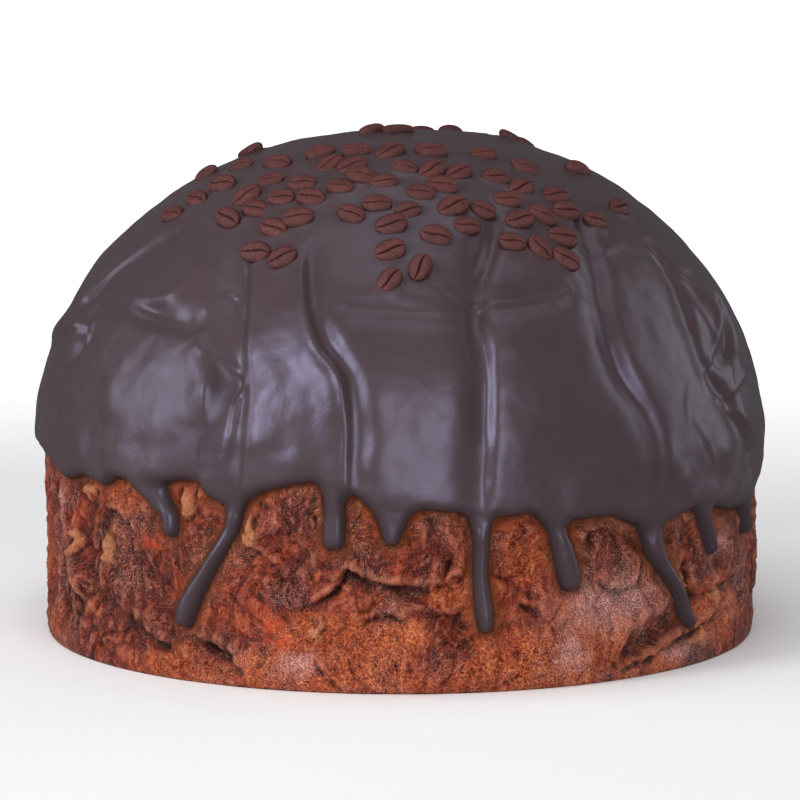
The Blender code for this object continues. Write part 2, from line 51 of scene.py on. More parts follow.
loaf = {
    "radius": 0.1090,
    "height": breadHigh.z,
    "wallHeight": 0.060,  # where the upright wall turns into the dome
    "fullness": 0.92,  # 1 gives an elliptical dome, less a fuller one
    "domeRun": 0.156,
    "footRise": 0.008,
    "footInset": 0.0014,
    "outOfRound": 0.0007,
    "deepest": 0.0056,  # depth that the furrows' relief levels off at
    "underGlaze": 0.0044,  # depth of the hidden layers under the dome's chocolate, below its furrows
    "hiddenRows": (0.02, 0.05, 0.10, 0.18, 0.30, 0.44, 0.60, 0.76, 0.90),  # their rows, as shares of the way up
    "fewestColumns": 56,  # the hidden rows' columns are halved down to about this many
    "crownCalm": 0.16,  # share of the dome round the crown where relief dies out
    "steepFrom": 0.0041,  # furrows of more than this half width are steeper on one side
}
# How furrows, folds and ridges run
lineForm = {
    "reach": 3.2,  # half widths
    "fade": 0.4,  # power of the fading at both ends
    "uneven": 0.55, "unevenSize": 0.017,
    "narrow": 0.5, "wide": 1.2,  # shares of the half width on a steep one's two sides
    "least": 0.62,  # least width of its narrow side, as a share of the depth
}
crownRun = loaf["wallHeight"] + loaf["domeRun"]
perDegree = math.radians(1) * loaf["radius"]  # metres across the wall for each degree

# Furrows and creases of the dome: depth (below zero for a ridge), half width, then azimuths and heights
frontFurrows = [
    (0.0034, 0.0058, (-38, 0.132), (-31, 0.113), (-28, 0.097), (-26, 0.080), (-26, 0.062), (-27, 0.048)),
    (-0.0020, 0.0055, (-36, 0.100), (-32, 0.090), (-32, 0.075)),
    (-0.0016, 0.0046, (-21, 0.124), (-18, 0.112), (-14.5, 0.100), (-10, 0.092), (-9, 0.080), (-9, 0.062)),
    (0.0017, 0.0034, (-18.6, 0.124), (-15.6, 0.112), (-12.2, 0.101), (-7.6, 0.092), (-6.2, 0.080), (-6, 0.064)),
    (0.0037, 0.0048, (24, 0.131), (18, 0.122), (14, 0.110), (14, 0.094), (13, 0.074), (12, 0.052)),
    (0.0020, 0.0040, (-10, 0.111), (-2, 0.110), (8, 0.109)),
    (0.0016, 0.0036, (0, 0.119), (6, 0.117), (13, 0.112)),
    (0.0020, 0.0040, (15, 0.112), (24, 0.112), (35, 0.115)),
    (0.0029, 0.0054, (53, 0.134), (46, 0.125), (40, 0.109), (39, 0.092), (43, 0.074), (43, 0.046)),
    (0.0026, 0.0050, (68, 0.122), (65, 0.112), (61, 0.098), (61, 0.088), (66, 0.077), (72, 0.060)),
    (-0.0022, 0.0046, (74, 0.112), (71, 0.100), (70, 0.088)),
    (0.0030, 0.0050, (80, 0.100), (75, 0.092), (66, 0.088)),
    (0.0028, 0.0050, (-60, 0.125), (-68, 0.113), (-76, 0.103), (-80, 0.094)),
    (0.0026, 0.0048, (-64, 0.110), (-69, 0.102), (-67, 0.093), (-70, 0.082)),
    (-0.0018, 0.0044, (-92, 0.088), (-82, 0.095), (-73, 0.098)),
    (0.0022, 0.0042, (-57, 0.105), (-48, 0.104), (-38, 0.102)),
]
# Thin ridges where the chocolate settled between the lobes: height, half width, azimuths and heights
fineRidges = [
    (0.0011, 0.0019, (-66, 0.126), (-69, 0.120), (-76, 0.109), (-80, 0.103), (-75, 0.097)),
    (0.0011, 0.0018, (-62, 0.112), (-68, 0.100), (-65, 0.096), (-68, 0.088), (-72, 0.080)),
    (0.0012, 0.0017, (-56, 0.106), (-53, 0.105), (-47, 0.104), (-41, 0.103)),
    (0.0012, 0.0030, (-57, 0.108), (-50, 0.109), (-46, 0.111), (-44, 0.117)),
    (0.0010, 0.0020, (-37, 0.108), (-37, 0.112), (-34, 0.114), (-31, 0.112), (-31, 0.107)),
    (0.0011, 0.0018, (-35, 0.098), (-30, 0.095), (-26, 0.091), (-27, 0.084), (-27, 0.076), (-28, 0.068)),
    (0.0014, 0.0017, (-20.6, 0.126), (-17.8, 0.113), (-14.3, 0.1015), (-9.8, 0.0930), (-8.2, 0.082),
     (-8, 0.072), (-8, 0.060)),
    (0.0009, 0.0030, (-68, 0.124), (-56, 0.130), (-44, 0.130), (-38, 0.133)),
    (0.0012, 0.0019, (-88, 0.085), (-81, 0.091), (-73, 0.097), (-65, 0.099)),
    (0.0010, 0.0018, (-80, 0.073), (-78, 0.080), (-74, 0.089)),
    (0.0011, 0.0017, (1, 0.119), (6, 0.117), (10, 0.115), (14, 0.112), (23, 0.112), (34, 0.114)),
    (0.0009, 0.0017, (21, 0.129), (18, 0.123), (15, 0.119)),
    (0.0009, 0.0018, (64, 0.124), (66, 0.116), (66, 0.111), (67, 0.102), (67, 0.092)),
    (0.0011, 0.0019, (67, 0.116), (71, 0.103), (67, 0.094), (59, 0.084), (65, 0.077)),
    (0.0011, 0.0018, (88, 0.087), (76, 0.083), (65, 0.078)),
    (0.0010, 0.0018, (63, 0.078), (70, 0.071), (77, 0.062)),
    (0.0010, 0.0026, (49, 0.134), (44, 0.127), (46, 0.123), (55, 0.124)),
    (0.0008, 0.0017, (55, 0.086), (52, 0.081), (51, 0.075)),
    (0.0008, 0.0018, (53, 0.075), (56, 0.068), (58, 0.062)),
    (0.0008, 0.0020, (-10, 0.109), (0, 0.109), (9, 0.108)),
]
# Blisters of the chocolate that catch the light: azimuth, height, half width and rise
blisters = [
    (-39.2, 0.0749, 0.0070, 0.0008), (-39.8, 0.0640, 0.0060, 0.0007), (-44.0, 0.1090, 0.0060, 0.0007),
    (-22.0, 0.0744, 0.0070, 0.0009), (-21.0, 0.0890, 0.0060, 0.0006), (-15.8, 0.0690, 0.0050, 0.0006),
    (18.5, 0.1010, 0.0050, 0.0009), (17.5, 0.0740, 0.0060, 0.0009), (44.5, 0.0660, 0.0060, 0.0009),
    (49.0, 0.0580, 0.0040, 0.0006), (-3.5, 0.0700, 0.0050, 0.0007), (-31.3, 0.0863, 0.0060, 0.0007),
    (62.0, 0.0636, 0.0050, 0.0008), (-52.0, 0.0800, 0.0070, 0.0008), (-60.0, 0.0650, 0.0060, 0.0007),
    (29.0, 0.0600, 0.0060, 0.0006), (-5.0, 0.0900, 0.0060, 0.0005), (70.0, 0.0700, 0.0050, 0.0007),
]
backBlisters = {"seed": 61, "count": 22, "heights": (0.056, 0.112), "halfWidths": (0.0045, 0.0070),
                "rises": (0.0005, 0.0009)}
# Folds and hollows of the torn crust, in the same form as the furrows
frontFolds = [
    (0.0016, 0.0030, (-14, 0.022), (-9, 0.032), (2, 0.030), (8, 0.030), (10, 0.020)),
    (0.0034, 0.0036, (36, 0.004), (44, 0.011), (50, 0.016), (60, 0.024)),
    (-0.0020, 0.0040, (30, 0.008), (40, 0.018), (52, 0.024)),
    (0.0004, 0.0040, (-20, 0.052), (-18, 0.040), (-20, 0.028)),
    (0.0018, 0.0036, (20, 0.044), (19, 0.034), (21, 0.022)),
    (0.0016, 0.0040, (-62, 0.048), (-60, 0.034), (-56, 0.022), (-48, 0.014)),
    (0.0024, 0.0036, (66, 0.040), (64, 0.030), (68, 0.020)),
    (-0.0022, 0.0044, (-70, 0.046), (-66, 0.030), (-62, 0.014)),
]
# Cracks and torn ledges of the crust, steep on the side to the left of their course: depth, half width,
# azimuths and heights
cracks = [
    (0.0028, 0.0012, (34, 0.001), (43.8, 0.0045), (49, 0.0080), (54.2, 0.0100), (60.3, 0.0115), (68.5, 0.0140)),
    (0.0030, 0.0013, (53, 0.034), (53.2, 0.027), (54.5, 0.0225), (58, 0.0200), (64, 0.0210), (77, 0.0225)),
    (0.0026, 0.0012, (32, 0.0320), (35, 0.0275), (38, 0.0265), (41.2, 0.0285), (42, 0.0400)),
    (0.0026, 0.0011, (-15, 0.0255), (-13, 0.0270), (-10, 0.0310), (-8, 0.0365), (-4, 0.0330), (3, 0.0320),
     (9, 0.0345)),
    (0.0022, 0.0010, (3.5, 0.0255), (7.3, 0.0230), (10.5, 0.0240)),
    (0.0018, 0.0010, (-13.5, 0.0110), (-12, 0.0055), (-9, 0.0008)),
    (0.0024, 0.0012, (-37, 0.0165), (-31.3, 0.0110), (-24, 0.0050)),
    (0.0016, 0.0010, (-32, 0.0140), (-28.2, 0.0110), (-25.8, 0.0060)),
    (0.0018, 0.0013, (-69, 0.0240), (-61.8, 0.0170), (-53, 0.0030)),
    (0.0026, 0.0018, (-50, 0.0175), (-44, 0.0125), (-37, 0.0080)),
    (0.0022, 0.0014, (-33.5, 0.0540), (-33, 0.0480)),
    (0.0020, 0.0010, (-13.5, 0.0620), (-13, 0.0490)),
    (0.0022, 0.0012, (-61.5, 0.0380), (-69.5, 0.0290), (-73, 0.0150)),
    (0.0022, 0.0013, (6.5, 0.0480), (8, 0.0400), (6, 0.0340)),
    (0.0018, 0.0012, (31, 0.0460), (30.5, 0.0370)),
    (0.0020, 0.0013, (52, 0.0420), (55.5, 0.0365), (57, 0.0300)),
    (0.0018, 0.0010, (-6, 0.0215), (-2, 0.0235), (1, 0.0220)),
    (0.0016, 0.0010, (18, 0.0270), (21, 0.0235), (22, 0.0180)),
    (0.0016, 0.0010, (-56, 0.0480), (-50, 0.0460), (-47, 0.0400)),
    (0.0016, 0.0010, (-24, 0.0420), (-19, 0.0350), (-20, 0.0290)),
]
backCracks = {"seed": 31, "count": 26, "depths": (0.0014, 0.0028), "halfWidths": (0.0010, 0.0014), "reach": 7,
              "heights": (0.004, 0.046), "rise": 0.011}
# Their shape in half widths: reach across and up, the steep side, the gentle side, the width of the painted crack
# shade on the gentle side, and the lip's place and height
crackForm = {"across": 9, "up": 8, "steep": 0.7, "gentle": 2.2, "dark": 1.1, "lipPlace": 2.0, "lip": 0.25}
back = {
    "first": 96, "last": 264,
    "seed": 11, "furrows": 8, "furrowDepth": (0.0022, 0.0044), "furrowHalfWidth": (0.0045, 0.0065),
    "furrowHeights": (0.130, 0.113, 0.094, 0.074, 0.052), "wander": 7,
    "creaseDepth": 0.0021, "creaseHalfWidth": 0.0042, "creaseHeights": (0.092, 0.116), "creaseLengths": (9, 16),
    "ridgeHeight": 0.0011, "ridgeWidth": 0.34, "ridgeAside": 1.3,  # ridges beside the furrows, degrees aside
    "edgeSeed": 5, "edgeHeight": 0.052, "edgeSwing": 0.005, "edgeStep": 12,
    "dripSeed": 21, "drips": 9, "dripOverlap": 0.006, "dripReach": (0.008, 0.036), "dripHalfWidth": 0.0028,
    "dripSlant": 5,
    "dripForm": ((0, 1.6), (0.35, 0.92), (0.68, 0.90), (0.92, 1.05), (1, 0.5)),
}
lumps = {"seed": 3, "count": 60, "depth": 0.0011, "sizes": (0.011, 0.024), "heights": (0.020, loaf["height"])}
crags = {"seed": 8, "count": 190, "depth": 0.0016, "sizes": (0.0036, 0.0080), "heights": (0.004, 0.060)}
cragStretch = 1.9
frontGather = 0.35  # how much finer the grids are in front than on average
cragFade = 0.004

# Lower edge of the chocolate: azimuths and heights
frontEdge = [
    (-82, 0.058), (-74, 0.0565), (-67, 0.053), (-60, 0.0560), (-54, 0.0545), (-50, 0.0580), (-44, 0.0570),
    (-34, 0.0605), (-31, 0.0560), (-27, 0.0550), (-22, 0.0585), (-17, 0.0615), (-12, 0.0630), (-6, 0.0585),
    (-1, 0.0555), (4, 0.0550), (9, 0.0540), (16, 0.0525), (20, 0.0525), (24, 0.0490), (29, 0.0500),
    (34, 0.0500), (39, 0.0465), (46, 0.0455), (53, 0.0480), (58, 0.0470), (66, 0.0440), (72, 0.0435),
    (78, 0.0465), (86, 0.0500),
]
# Drips: the azimuth, height and half width at stations down each one
frontDrips = [
    ((-43.5, 0.0590, 0.0050), (-40.5, 0.0535, 0.0036), (-38.7, 0.0490, 0.0028), (-38.5, 0.0455, 0.0029)),
    ((-26.5, 0.0600, 0.0050), (-26.8, 0.0545, 0.0032), (-27.2, 0.0485, 0.0026), (-28.8, 0.0425, 0.0024),
     (-31.3, 0.0345, 0.0026), (-33.5, 0.0280, 0.0032), (-35, 0.0225, 0.0036), (-35.5, 0.0195, 0.0033)),
    ((-10, 0.0640, 0.0046), (-10, 0.0590, 0.0037), (-10, 0.0535, 0.0034), (-10.2, 0.0465, 0.0037)),
    ((-1.5, 0.0610, 0.0080), (-1.2, 0.0565, 0.0060), (-1.2, 0.0510, 0.0040), (-1.2, 0.0475, 0.0029)),
    ((12.5, 0.0600, 0.0052), (12.5, 0.0520, 0.0036), (12.5, 0.0445, 0.0027), (12.5, 0.0340, 0.0026),
     (13, 0.0250, 0.0030), (13.2, 0.0205, 0.0026)),
    ((24, 0.0560, 0.0036), (24.8, 0.0475, 0.0030), (26, 0.0400, 0.0036), (27.2, 0.0325, 0.0038)),
    ((43, 0.0520, 0.0056), (43.2, 0.0445, 0.0040), (44, 0.0385, 0.0038), (46, 0.0330, 0.0029),
     (49.2, 0.0260, 0.0025), (52, 0.0175, 0.0028), (53.5, 0.0135, 0.0022)),
    ((56, 0.0500, 0.0042), (57.5, 0.0435, 0.0031), (58.8, 0.0385, 0.0027), (60, 0.0340, 0.0023)),
    ((73, 0.0510, 0.0040), (73.8, 0.0415, 0.0030), (75.2, 0.0360, 0.0024)),
]
glaze = {
    "thickness": 0.0027,
    "roll": 0.0005,  # extra thickness where the chocolate gathered at its lower edge
    "rollRun": 0.016,
    "beadRadius": 0.0031,  # distance over which the edge and the drips round up
    "tuck": 0.0010,  # how far the rim reaches into the crust
    "flare": 0.0040,  # softness of the corner between a drip and the edge
    "edgeWave": 0.0005, "edgeWaveSize": 0.005,
    "waves": 0.00034, "waveSize": 0.017, "ripples": 0.00021, "rippleSize": 0.0085,
    "ridgeHeight": 0.8, "ridgeWidth": 0.62,  # shares of the thin ridges' height and half width
    "seat": 0.00045, "seatFrom": 0.0036, "seatFade": 0.0014,  # rise round a bean, and distances from its middle
    "columns": 704, "bandLow": 0.0085, "bandHigh": 0.0672, "bandStep": 0.00080,
    "domeStep": 0.00122,
}
crust = {
    "columns": 896, "step": 0.00066, "top": 0.0665, "baseRings": (0.985, 0.95, 0.85, 0.6, 0.3),
    "raggedness": 0.0022,  # how far the edges of the patches wander
    "paleBulge": 0.0011,
    "underDrips": 0.0006,  # how far the crust draws back under the chocolate
}
beans = {
    "length": 0.0093, "width": 0.0070, "proud": 0.0026, "uneven": 0.1,
    "tip": 7, "lean": 19, "leanTurn": 50,  # degrees: tipping at random, leaning forward and towards the front
    # on the far side: random places with at least this spacing, within this radius and facing away this far
    "placeSeed": 42, "tries": 6000, "spacing": 0.0088, "field": 0.078, "unseen": -0.19,
    "swing": 34, "turned": 0.07,  # degrees away from the X direction, and share with the domed side up
    "turnSeed": 77, "stations": 24,
    "flat": 0.46, "belly": 0.64, "crease": 0.34, "creaseWidth": 0.062,  # shares of half the width
    # in front: azimuth, radius seen from above and swing away from the X direction
    "front": [
        (50, 0.0325, 15), (-76, 0.0485, -30), (-45, 0.0702, -39), (-25, 0.0687, -4), (-18, 0.0554, -21),
        (54, 0.0710, 11), (-69, 0.0720, -36), (2, 0.0647, 15), (25, 0.0762, -1), (18, 0.0300, 5),
        (4, 0.0825, 61), (-12, 0.0670, -30), (38, 0.0675, -14), (6, 0.0570, -13), (-24, 0.0815, 19),
        (22, 0.0640, -21), (-60, 0.0420, -39), (8, 0.0735, -17), (-25, 0.0305, -8), (-67, 0.0649, -50),
        (40, 0.0551, 40), (-5, 0.0310, 34), (-5, 0.0519, -2), (-65, 0.0576, -31), (35, 0.0489, 13),
        (-168, 0.0030, -1), (-32, 0.0536, -12), (-46, 0.0525, -6), (-2, 0.0781, 12), (48, 0.0659, 6),
        (2, 0.0430, -26), (134, 0.0510, -62), (58, 0.0440, -6), (14, 0.0632, 31), (-30, 0.0724, -33),
        (-19, 0.0426, 22), (-13, 0.0494, -17), (-6, 0.0625, -2), (12, 0.0445, 36), (13, 0.0535, -8),
        (-47, 0.0610, 20), (-40, 0.0652, -30), (16, 0.0703, -8), (-2, 0.0858, 41), (-31, 0.0799, -10),
        (39, 0.0751, 3), (36, 0.0815, -27), (-2, 0.0704, 13), (-25, 0.0605, -26), (-89, 0.0575, -25),
        (31, 0.0783, -45), (22, 0.0460, 37), (70, 0.0690, 35), (51, 0.0591, 33), (-34, 0.0611, -13),
        (30, 0.0690, 23), (31, 0.0605, 11), (-108, 0.0470, -44), (-30, 0.0409, 46), (117, 0.0370, -2)
    ],
    "frontTurned": [  # the same for those with the domed side up
        (157, 0.0385, -43), (-48, 0.0315, 3), (-118, 0.0095, 43), (86, 0.0530, 36), (170, 0.0385, -17)
    ],
}


def profileAt(run):
    # radius R cos(s)^f and height W + D sin(s) on the dome, with a rounded foot at the bottom of the wall
    swing = np.clip((run - loaf["wallHeight"]) / loaf["domeRun"], 0, 1) * math.pi / 2
    foot = np.clip(1 - run / loaf["footRise"], 0, 1)
    radius = loaf["radius"] * np.maximum(np.cos(swing), 0) ** loaf["fullness"]
    radius = radius - loaf["footInset"] * (1 - np.sqrt(1 - foot**2))
    height = np.minimum(run, loaf["wallHeight"]) + (loaf["height"] - loaf["wallHeight"]) * np.sin(swing)
    return radius, height


def runAtHeight(height):
    rise = np.clip((height - loaf["wallHeight"]) / (loaf["height"] - loaf["wallHeight"]), 0, 1)
    return np.minimum(height, loaf["wallHeight"]) + np.arcsin(rise) / (math.pi / 2) * loaf["domeRun"]


def runAtRadius(radius):
    swing = np.arccos(np.clip(radius / loaf["radius"], 0, 1) ** (1 / loaf["fullness"]))
    return loaf["wallHeight"] + swing / (math.pi / 2) * loaf["domeRun"]


def skinAt(azimuth, run, lift=0.0):
    # the plain loaf's point, moved out by lift along the normal of its profile
    step = 0.0002
    radius, height = profileAt(run)
    lowRadius, lowHeight = profileAt(np.maximum(run - step, 0))
    highRadius, highHeight = profileAt(np.minimum(run + step, crownRun))
    tilt = np.arctan2(lowRadius - highRadius, highHeight - lowHeight)
    out = radius + lift * np.cos(tilt)
    turn = np.radians(azimuth)
    return np.stack([out * np.sin(turn), -out * np.cos(turn), height + lift * np.sin(tilt)], axis=-1)


def apart(azimuth, other):
    # signed degrees from one azimuth to another, the short way round
    return (azimuth - other + 180) % 360 - 180


def columnTurns(count):
    # azimuths of a grid's columns, closer together in front: t - share * sin(t)
    even = np.arange(count) * 2 * math.pi / count
    return np.degrees(even - frontGather * np.sin(even))


def smoothLine(stations, steps=4):
    # Catmull-Rom curve through the stations
    given = np.array(stations, float)
    padded = np.vstack([2 * given[0] - given[1], given, 2 * given[-1] - given[-2]])
    share = np.linspace(0, 1, steps, endpoint=False)[:, None]
    pieces = []
    for before, start, end, after in zip(padded, padded[1:], padded[2:], padded[3:]):
        straight = (end - before) * share
        bend = (2 * before - 5 * start + 4 * end - after) * share**2
        twist = (3 * start - before - 3 * end + after) * share**3
        pieces.append(start + 0.5 * (straight + bend + twist))
    return np.vstack(pieces + [given[-1:]])


def alongLine(here, ends):
    # for each stretch of a line: its number, the share along it nearest to each point, and the distance there
    for number, (start, end) in enumerate(zip(ends[:-1], ends[1:])):
        along = end - start
        share = np.clip((here - start) @ along / (along @ along), 0, 1)
        yield number, share, np.linalg.norm(here - start - share[:, None] * along, axis=1)


def nearestOnLine(here, ends, unrolled, unrolledEnds):
    # distance to the line, place along it from 0 to 1, and how far each point lies to the left of its course on
    # the unrolled wall
    nearest = np.full(len(here), np.inf)
    place = np.zeros(len(here))
    left = np.zeros(len(here))
    for number, share, distance in alongLine(here, ends):
        closer = distance < nearest
        course = unrolledEnds[number + 1] - unrolledEnds[number]
        away = unrolled - unrolledEnds[number]
        aside = (course[0] * away[:, 1] - course[1] * away[:, 0]) / np.linalg.norm(course)
        left = np.where(closer, aside, left)
        place = np.where(closer, (number + share) / (len(ends) - 1), place)
        nearest = np.minimum(distance, nearest)
    return nearest, place, left


def addLineRelief(total, azimuth, run, points, depth, halfWidth, stations, steep=False):
    # -depth * exp(-(distance to the line / half width)^2), fading at both ends of the line and uneven along it.
    # A steep one is narrower on the right side, or the lower one, and wider on the other.
    line = smoothLine(stations)
    runs = runAtHeight(line[:, 1])
    middle = line[:, 0].mean()
    margin = lineForm["reach"] * halfWidth
    near = np.abs(apart(azimuth, middle)) < np.abs(line[:, 0] - middle).max() + 1.8 * margin / perDegree
    near &= (run > runs.min() - margin) & (run < runs.max() + margin)
    here = points[near]
    unrolled = np.stack([apart(azimuth[near], middle) * perDegree, run[near]], axis=1)
    unrolledEnds = np.stack([(line[:, 0] - middle) * perDegree, runs], axis=1)
    nearest, place, left = nearestOnLine(here, skinAt(line[:, 0], runs), unrolled, unrolledEnds)
    whole = unrolledEnds[-1] - unrolledEnds[0]
    if whole[0] > abs(whole[1]):
        left = -left
    fade = np.sin(math.pi * np.clip(place, 0.04, 0.96)) ** lineForm["fade"]
    uneven = 1 + lineForm["uneven"] * noiseAt(here, lineForm["unevenSize"], 305)
    width = halfWidth
    if steep:
        toRight = smoothStep(-0.0006, 0.0006, left)
        narrow = max(lineForm["narrow"] * halfWidth, lineForm["least"] * abs(depth))
        width = narrow * toRight + lineForm["wide"] * halfWidth * (1 - toRight)
    total[near] -= depth * fade * uneven * np.exp(-((nearest / width) ** 2))


def backFurrows():
    # furrows down the back like those of the front, with a crease running off each
    draw = np.random.default_rng(back["seed"])
    furrows = []
    spacing = (back["last"] - back["first"]) / back["furrows"]
    for number in range(back["furrows"]):
        azimuth = back["first"] + (number + 0.5) * spacing + draw.uniform(-0.25, 0.25) * spacing
        wander = draw.uniform(-back["wander"], back["wander"], len(back["furrowHeights"]))
        stations = [(azimuth + shift, height) for shift, height in zip(wander, back["furrowHeights"])]
        furrows.append((draw.uniform(*back["furrowDepth"]), draw.uniform(*back["furrowHalfWidth"]), *stations))
        height = draw.uniform(*back["creaseHeights"])
        length = draw.uniform(*back["creaseLengths"])
        crease = [(azimuth + share * length, height) for share in (0, 0.5, 1)]
        furrows.append((back["creaseDepth"], back["creaseHalfWidth"], *crease))
    return furrows


def backRidges():
    # a thin ridge beside each furrow of the back
    ridges = []
    for _, halfWidth, *stations in backFurrows():
        moved = [(azimuth + back["ridgeAside"], height) for azimuth, height in stations]
        ridges.append((back["ridgeHeight"], back["ridgeWidth"] * halfWidth, *moved))
    return ridges


def scatteredRelief(points, seed, count, depth, sizes, heights, stretch=1.0):
    # seeded soft bumps and dents, h * exp(-(distance / size)^2), stretched up and down
    draw = np.random.default_rng(seed)
    total = np.zeros(len(points))
    for _ in range(count):
        centre = skinAt(draw.uniform(0, 360), runAtHeight(draw.uniform(*heights)))
        size = draw.uniform(*sizes)
        height = depth * draw.uniform(-1, 1)
        near = (np.abs(points - centre) < 3 * size * np.array([1, 1, stretch])).all(axis=1)
        away = points[near] - centre
        away[:, 2] /= stretch
        total[near] += height * np.exp(-(away**2).sum(axis=1) / size**2)
    return total


def edgeLine():
    draw = np.random.default_rng(back["edgeSeed"])
    behind = []
    for azimuth in range(back["first"], back["last"], back["edgeStep"]):
        behind.append((azimuth, back["edgeHeight"] + draw.uniform(-back["edgeSwing"], back["edgeSwing"])))
    line = np.array(frontEdge + behind + [(frontEdge[0][0] + 360, frontEdge[0][1])])
    return smoothLine(line, 6)


edge = edgeLine()


def edgeHeight(azimuth):
    return np.interp(azimuth, edge[:, 0], edge[:, 1], period=360)


def softRelief(azimuth, run, points):
    # the loaf's own unevenness, which the chocolate follows
    total = loaf["outOfRound"] * (np.cos(np.radians(2 * azimuth + 40)) + np.cos(np.radians(3 * azimuth)))
    for depth, halfWidth, *stations in frontFurrows + backFurrows():
        addLineRelief(total, azimuth, run, points, depth, halfWidth, stations, halfWidth > loaf["steepFrom"])
    total += scatteredRelief(points, **lumps)
    # where furrows cross they get little deeper than one of them
    total /= (1 + (total / loaf["deepest"]) ** 4) ** 0.25
    return total * np.clip((crownRun - run) / (loaf["crownCalm"] * loaf["domeRun"]), 0, 1)


def cragRelief(azimuth, run, points, depth):
    # the crust's crags and folds, mostly filled where the chocolate runs over them
    total = scatteredRelief(points, **crags, stretch=cragStretch)
    for fold, halfWidth, *stations in frontFolds:
        addLineRelief(total, azimuth, run, points, fold, halfWidth, stations)
    total *= 1 - 0.8 * smoothStep(-0.0035, 0.0010, depth)
    return total * np.clip((edgeHeight(azimuth) - run) / cragFade, 0, 1)


def footFade(run):
    return np.clip(run / loaf["footRise"], 0, 1)


noiseTable = np.random.default_rng(1).normal(size=(512, 3))
noiseTable /= np.linalg.norm(noiseTable, axis=1)[:, None]


def scramble(cells, seed):
    # one whole number for each lattice cell
    key = cells[:, 0] * 73856093 ^ cells[:, 1] * 19349663 ^ cells[:, 2] * 83492791 ^ (seed * 2654435761)
    key = (key ^ (key >> 13)) * 1274126177
    return (key ^ (key >> 16)) & 0x7FFFFFFF


def noiseAt(points, size, seed):
    # gradient noise: the slopes at the eight corners of a lattice cell, blended by a quintic, about -1 to 1
    place = points / size
    cell = np.floor(place).astype(np.int64)
    local = place - cell
    blend = local**3 * (local * (local * 6 - 15) + 10)
    total = np.zeros(len(points))
    for corner in itertools.product((0, 1), repeat=3):
        offset = np.array(corner)
        slope = noiseTable[scramble(cell + offset, seed) % len(noiseTable)]
        weight = np.where(offset, blend, 1 - blend).prod(axis=1)
        total += weight * (slope * (local - offset)).sum(axis=1)
    return total * 1.6


def fractalAt(points, size, seed, octaves=3, falloff=0.5):
    total = np.zeros(len(points))
    for octave in range(octaves):
        total += falloff**octave * noiseAt(points, size / 2**octave, seed + 17 * octave)
    return total


def cellsAt(points, size, seed):
    # for one seeded point per lattice cell: distances to the nearest and the second nearest, in cells, the way
    # from the nearest to here, and a number from 0 to 1 that belongs to it
    place = points / size
    cell = np.floor(place).astype(np.int64)
    first = np.full(len(points), 9.0)
    second = np.full(len(points), 9.0)
    away = np.zeros(points.shape)
    tone = np.zeros(len(points))
    for step in itertools.product((-1, 0, 1), repeat=3):
        other = cell + np.array(step)
        key = scramble(other, seed)
        spot = other + np.stack([key % 1009, key // 1009 % 1013, key // 1022117 % 1019], axis=1) / 1016
        distance = np.linalg.norm(place - spot, axis=1)
        closer = distance < first
        second = np.minimum(second, np.maximum(distance, first))
        away = np.where(closer[:, None], (place - spot) * size, away)
        tone = np.where(closer, key % 997 / 996, tone)
        first = np.minimum(distance, first)
    return first, second, away, tone


def smoothStep(low, high, value):
    share = np.clip((value - low) / (high - low), 0, 1)
    return share * share * (3 - 2 * share)


def softMax(one, other, softness):
    # the larger of two distances, with the corner between them filled by a curve
    overlap = np.maximum(softness - np.abs(one - other), 0) / softness
    return np.maximum(one, other) + overlap**2 * softness / 4


def backDrips():
    draw = np.random.default_rng(back["dripSeed"])
    overlap = back["dripOverlap"]
    spacing = (back["last"] - back["first"]) / back["drips"]
    drips = []
    for number in range(back["drips"]):
        azimuth = back["first"] + (number + 0.5) * spacing + draw.uniform(-0.2, 0.2) * spacing
        top = float(edgeHeight(azimuth)) + overlap
        fall = overlap + draw.uniform(*back["dripReach"])
        slant = draw.uniform(-back["dripSlant"], back["dripSlant"])
        stations = []
        for share, width in back["dripForm"][:-1]:
            stations.append((azimuth + slant * share, top - fall * share, width * back["dripHalfWidth"]))
        drips.append(stations)
    return drips


def chocolateDepth(azimuth, run):
    # signed distance inside the chocolate's outline: the wavy edge and each drip, joined by a soft corner.
    # A drip is a chain of capsules, half width minus the distance to its line.
    rim = skinAt(azimuth, np.full(azimuth.shape, 0.05))
    line = edgeHeight(azimuth) + glaze["edgeWave"] * noiseAt(rim, glaze["edgeWaveSize"], 71)
    slope = (edgeHeight(azimuth + 0.5) - edgeHeight(azimuth - 0.5)) / perDegree
    depth = (run - line) / np.sqrt(1 + slope**2)
    for stations in frontDrips + backDrips():
        drip = smoothLine(stations, 3)
        near = np.abs(apart(azimuth, drip[:, 0].mean())) < 14
        near &= run < drip[:, 1].max() + 0.012
        here = np.stack([apart(azimuth[near], drip[0, 0]) * perDegree, run[near]], axis=1)
        ends = np.stack([(drip[:, 0] - drip[0, 0]) * perDegree, drip[:, 1]], axis=1)
        inside = np.full(near.sum(), -1.0)
        for number, share, distance in alongLine(here, ends):
            first, last = drip[number:number + 2, 2]
            inside = np.maximum(inside, first + share * (last - first) - distance)
        depth[near] = softMax(depth[near], inside, glaze["flare"])
    return depth


def gatheredThickness(azimuth, run, depth):
    # full thickness plus a roll of chocolate just above the edge, rounded up from the rim by a quarter circle
    above = np.clip((run - edgeHeight(azimuth)) / glaze["rollRun"], 0, 1)
    full = glaze["thickness"] + glaze["roll"] * np.sin(math.pi * np.sqrt(above)) ** 2 + 0.0002
    share = np.clip(depth / glaze["beadRadius"], 0, 1)
    return (full + glaze["tuck"]) * np.sqrt(1 - (1 - share) ** 2) - glaze["tuck"]


def planSpot(azimuth, radius):
    return radius * math.sin(math.radians(azimuth)), -radius * math.cos(math.radians(azimuth))


